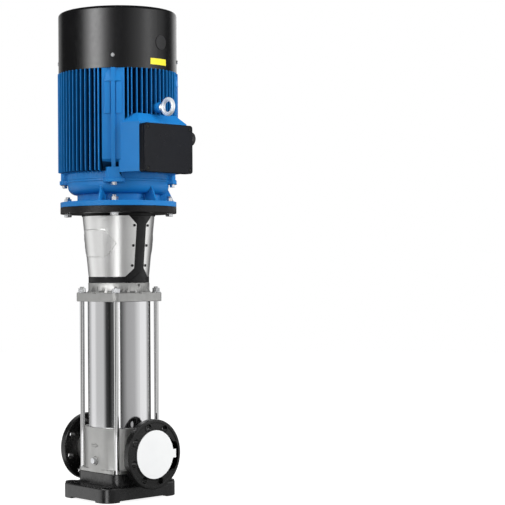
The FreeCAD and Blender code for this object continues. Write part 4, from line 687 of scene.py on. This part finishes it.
def thread(name, radius, low, turns):
    """A stack of thread crests from a level up."""
    bpy.ops.mesh.primitive_cylinder_add(vertices=THREAD_SIDES, radius=radius, depth=THREAD_PITCH,
                                        location=(0, 0, low + THREAD_PITCH / 2))
    crest = named(name)
    round_edges(crest, THREAD_PITCH * THREAD_BEVEL, 1)
    worked(crest, "ARRAY", count=turns, use_relative_offset=False, use_constant_offset=True,
           constant_offset_displace=(0, 0, THREAD_PITCH))
    return crest


def bar(name, radius, low, high):
    bpy.ops.mesh.primitive_cylinder_add(vertices=BAR_SIDES, radius=radius, depth=high - low,
                                        location=(0, 0, (low + high) / 2))
    return named(name)


def nuts(name, flats, reach, node):
    """Four bored nuts in place of a node."""
    nut = hexagon(name, flats, NUT_HEIGHT)
    cut_to(nut, bar("nut_bore", ROD_RADIUS + BORE_PLAY, -NUT_HEIGHT, NUT_HEIGHT * 2), "DIFFERENCE")
    in_place_of(round_the_axis(nut, reach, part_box(node)[0].z), node)


def tie_rods():
    low, high = (corner.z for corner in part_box("tie_rods"))
    thread_low = high - ROD_END_TURNS * THREAD_PITCH
    rod = one_of(bar("tie_rod_bars", ROD_RADIUS, low, thread_low),
                 thread("tie_rod_end", ROD_RADIUS, thread_low, ROD_END_TURNS))
    in_place_of(round_the_axis(rod, ROD_CIRCLE, 0), "tie_rods")
    nuts("tie_rod_hexagons", ROD_NUT_FLATS, ROD_CIRCLE, "tie_rod_nuts")


def motor_bolts():
    """The bolts and nuts of the motor's flange, and the bolts of its drive-end shield."""
    low, high = (corner.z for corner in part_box("flange_bolts"))
    thread_low = high - FLANGE_BOLT_TURNS * THREAD_PITCH
    bolt = one_of(head_down("flange_hexagons", FLANGE_BOLT_FLATS, FLANGE_BOLT_HEAD),
                  bar("flange_shank", ROD_RADIUS, FLANGE_BOLT_HEAD / 2, thread_low - low),
                  thread("flange_bolt_end", ROD_RADIUS, thread_low - low, FLANGE_BOLT_TURNS))
    in_place_of(round_the_axis(bolt, FLANGE_BOLT_CIRCLE, low), "flange_bolts")
    nuts("flange_nut_hexagons", FLANGE_BOLT_FLATS, FLANGE_BOLT_CIRCLE, "flange_nuts")
    low, high = (corner.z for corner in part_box("shield_bolts"))
    screw = one_of(head_down("shield_hexagons", SHIELD_BOLT_FLATS, SHIELD_BOLT_HEAD),
                   bar("shield_shank", SHIELD_BOLT_RADIUS, SHIELD_BOLT_HEAD / 2, high - low))
    in_place_of(round_the_axis(screw, SHIELD_BOLT_CIRCLE, low), "shield_bolts")


# Small pieces on the motor and the guards


def cover_patch():
    """A plain yellow strip stuck on the fan cover."""
    bpy.ops.mesh.primitive_cylinder_add(vertices=PATCH_SIDES, radius=COVER_RADIUS + PATCH_LIFT,
                                        depth=PATCH_HIGH - PATCH_LOW, end_fill_type="NOTHING",
                                        location=(0, 0, (PATCH_LOW + PATCH_HIGH) / 2))
    patch = named("cover_patch")
    bpy.ops.object.mode_set(mode="EDIT")
    bpy.ops.mesh.select_all(action="DESELECT")
    bpy.ops.object.mode_set(mode="OBJECT")
    for point in patch.data.vertices:
        turn = math.atan2(point.co.y, point.co.x) - PATCH_ANGLE
        point.select = abs(turn) > PATCH_HALF_ANGLE + FLAT_TURN
    bpy.ops.object.mode_set(mode="EDIT")
    bpy.ops.mesh.delete(type="VERT")
    bpy.ops.object.mode_set(mode="OBJECT")
    worked(patch, "SOLIDIFY", thickness=PATCH_THICKNESS, offset=1)
    smooth(patch)
    carried(patch, "fan_cover", "white_film")
    paint(patch, yellow_film())


def lifting_eye():
    """A forged ring on a short cone, screwed into its boss on the motor."""
    low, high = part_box("lifting_eye")
    ring_x = high.x - EYE_RING_RADIUS - EYE_SECTION_RADIUS
    level = (low.z + high.z) / 2
    bpy.ops.mesh.primitive_torus_add(major_radius=EYE_RING_RADIUS, minor_radius=EYE_SECTION_RADIUS,
                                     major_segments=EYE_RING_STEPS, minor_segments=EYE_SECTION_STEPS,
                                     location=(ring_x, 0, level), rotation=(math.pi / 2, 0, 0))
    eye = named("forged_eye")
    length = ring_x - EYE_RING_RADIUS + EYE_SINK - EYE_SEAT
    bpy.ops.mesh.primitive_cone_add(vertices=BAR_SIDES, radius1=EYE_FOOT_RADIUS,
                                    radius2=EYE_SECTION_RADIUS, depth=length,
                                    location=(EYE_SEAT + length / 2, 0, level),
                                    rotation=(0, math.pi / 2, 0))
    cut_to(eye, named("eye_cone"), "UNION")
    smooth(eye)
    in_place_of(eye, "lifting_eye")


def guard_beads():
    """A bead pressed round the raised panel of each coupling guard."""
    low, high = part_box("coupling_guard_front")
    middle = (BEAD_LOW + BEAD_HIGH) / 2
    corners = [(-BEAD_SHOULDER, BEAD_LOW), (BEAD_SHOULDER, BEAD_LOW), (BEAD_POINT, middle),
               (BEAD_SHOULDER, BEAD_HIGH), (-BEAD_SHOULDER, BEAD_HIGH), (-BEAD_POINT, middle)]
    line = bpy.data.curves.new("guard_bead", "CURVE")
    line.dimensions = "3D"
    line.bevel_depth = BEAD_RADIUS
    line.bevel_resolution = BEAD_ROUNDNESS
    path = line.splines.new("POLY")
    path.points.add(len(corners) * BEAD_STEPS - 1)
    for side, (x, z) in enumerate(corners):
        next_x, next_z = corners[(side + 1) % len(corners)]
        for step in range(BEAD_STEPS):
            across = x + (next_x - x) * step / BEAD_STEPS
            level = z + (next_z - z) * step / BEAD_STEPS
            reach = BEAD_LIFT - low.y - CONE_SLOPE * (high.z - level)
            spot = (across, -math.sqrt(reach ** 2 - across ** 2), level, 1)
            path.points[side * BEAD_STEPS + step].co = spot
    path.use_cyclic_u = True
    pick_only(added(bpy.data.objects.new("guard_bead_outline", line)))
    bpy.ops.object.convert(target="MESH")
    front = bpy.context.object
    front.name = "front_guard_bead"
    smooth(front)
    rear = copied(front, Matrix.Rotation(math.pi, 4, "Z"))
    rear.name = "rear_guard_bead"
    carried(front, "coupling_guard_front", "guard_sheet")
    carried(rear, "coupling_guard_rear", "guard_sheet")


def pad_crests():
    """A two-faced crest at the top of each side pad of the motor."""
    middle = (CREST_FACE - CREST_DEPTH / 2, 0, CREST_LOW + CREST_HEIGHT / 2)
    bpy.ops.mesh.primitive_cube_add(size=1, location=middle, scale=(CREST_DEPTH, CREST_WIDTH, CREST_HEIGHT))
    crest = named("pad_crests")
    bpy.ops.object.mode_set(mode="EDIT")
    bpy.ops.mesh.subdivide(number_cuts=1)
    bpy.ops.object.mode_set(mode="OBJECT")
    for point in crest.data.vertices:
        if point.co.x > CREST_FACE - MERGE_REACH:
            if abs(point.co.y) < MERGE_REACH:
                point.co.x += CREST_RIDGE
            rise = (point.co.z - CREST_LOW) / CREST_HEIGHT
            point.co.x -= CREST_LEAN * rise
            point.co.y *= 1 - CREST_TAPER * rise
    round_edges(crest, CREST_EDGE)
    carried(round_the_axis(crest, 0, 0), "motor_frame", "motor_paint")


# Stage


def stage_floor():
    """A pale floor under the pump, which only the camera sees."""
    bpy.ops.mesh.primitive_circle_add(vertices=RING_SIDES, radius=FLOOR_RADIUS, fill_type="NGON")
    floor = bpy.context.object
    floor.name = "floor"
    finish = Finish("pale_floor", FLOOR_COLOUR, 0.9)
    finish.shader.inputs["Specular IOR Level"].default_value = 0
    finish.shader.inputs["Emission Color"].default_value = WHITE
    finish.shader.inputs["Emission Strength"].default_value = FLOOR_GLOW
    floor.data.materials.append(finish.material)
    floor.visible_glossy = False
    floor.visible_diffuse = False


def tent_wall(name, low, high, stops):
    """A ring of white and black cloth round the pump that shows in its reflections."""
    bpy.ops.mesh.primitive_cylinder_add(vertices=RING_SIDES, radius=TENT_RADIUS, depth=high - low,
                                        end_fill_type="NOTHING")
    wall = bpy.context.object
    wall.name = name
    wall.data.transform(Matrix.Translation((0, 0, (low + high) / 2)))
    material = bpy.data.materials.new(name)
    material.use_nodes = True
    nodes = material.node_tree.nodes
    links = material.node_tree.links
    nodes.clear()
    turned = nodes.new("ShaderNodeMapping")
    turned.inputs["Rotation"].default_value[2] = -CAMERA_ANGLE
    links.new(nodes.new("ShaderNodeTexCoord").outputs["Object"], turned.inputs["Vector"])
    sweep = nodes.new("ShaderNodeTexGradient")
    sweep.gradient_type = "RADIAL"
    links.new(turned.outputs["Vector"], sweep.inputs["Vector"])
    ramp = nodes.new("ShaderNodeValToRGB")
    steps = ramp.color_ramp.elements
    steps.remove(steps[1])
    for number, (angle, brightness) in enumerate(stops):
        place = angle / 360 + 0.5
        step = steps[0] if number == 0 else steps.new(place)
        step.position = place
        step.color = (brightness, brightness, brightness, 1)
    links.new(sweep.outputs["Fac"], ramp.inputs["Fac"])
    glow = nodes.new("ShaderNodeEmission")
    links.new(ramp.outputs["Color"], glow.inputs["Color"])
    links.new(glow.outputs["Emission"], nodes.new("ShaderNodeOutputMaterial").inputs["Surface"])
    wall.data.materials.append(material)
    wall.visible_camera = False
    wall.visible_shadow = False
    wall.visible_diffuse = False


def soft_light(name, angle, height, reach, size, power):
    """A softbox that looks at the middle of the pump; its mirror image is left to the tent."""
    bearing = CAMERA_ANGLE + math.radians(angle)
    spot = (reach * math.cos(bearing), reach * math.sin(bearing), height)
    bpy.ops.object.light_add(type="AREA", location=spot)
    light = bpy.context.object
    light.name = name
    light.data.shape = "RECTANGLE"
    light.data.size, light.data.size_y = size
    light.data.energy = power
    light.visible_glossy = False
    aim = Vector((0, 0, COVER_HIGH / 2)) - light.location
    light.rotation_euler = aim.to_track_quat("-Z", "Y").to_euler()


def backdrop():
    """White behind the pump for the camera, and dim grey for light and reflections."""
    world = bpy.data.worlds.new("studio")
    world.use_nodes = True
    nodes = world.node_tree.nodes
    links = world.node_tree.links
    seen = nodes["Background"].outputs["Background"]
    nodes["Background"].inputs["Color"].default_value = WHITE
    path = nodes.new("ShaderNodeLightPath")
    for ray, strength in (("Is Diffuse Ray", SHADE_BRIGHTNESS), ("Is Glossy Ray", OPEN_BRIGHTNESS)):
        cloth = nodes.new("ShaderNodeBackground")
        cloth.inputs["Color"].default_value = WHITE
        cloth.inputs["Strength"].default_value = strength
        pick = nodes.new("ShaderNodeMixShader")
        links.new(path.outputs[ray], pick.inputs[0])
        links.new(seen, pick.inputs[1])
        links.new(cloth.outputs["Background"], pick.inputs[2])
        seen = pick.outputs["Shader"]
    links.new(seen, nodes["World Output"].inputs["Surface"])
    bpy.context.scene.world = world


def studio():
    bpy.context.scene.view_settings.view_transform = "Standard"
    backdrop()
    stage_floor()
    for wall in TENT_WALLS:
        tent_wall(*wall)
    for softbox in SOFTBOXES:
        soft_light(*softbox)


def photograph_camera():
    """The photograph's view: level, off to one side of its frame, with a slight roll."""
    bpy.ops.object.camera_add()
    camera = bpy.context.object
    camera.name = "photograph_camera"
    camera.data.sensor_width = SENSOR_WIDTH
    camera.data.lens = CAMERA_DISTANCE / METRES_PER_PIXEL / FRAME_PIXELS * SENSOR_WIDTH
    camera.data.shift_x = (FRAME_PIXELS / 2 - AXIS_PIXEL) / FRAME_PIXELS
    camera.data.shift_y = (HORIZON_PIXEL - FRAME_PIXELS / 2) / FRAME_PIXELS
    spot = Vector((math.cos(CAMERA_ANGLE), math.sin(CAMERA_ANGLE), 0)) * CAMERA_DISTANCE
    spot.z = CAMERA_HEIGHT
    look = Vector((-spot.x, -spot.y, 0)).to_track_quat("-Z", "Y").to_matrix().to_4x4()
    camera.matrix_world = Matrix.Translation(spot) @ look @ Matrix.Rotation(CAMERA_ROLL, 4, "Z")
    bpy.context.scene.camera = camera


paint_the_frame()
break_edges()
tie_rods()
motor_bolts()
cover_patch()
lifting_eye()
guard_beads()
pad_crests()
studio()
photograph_camera()
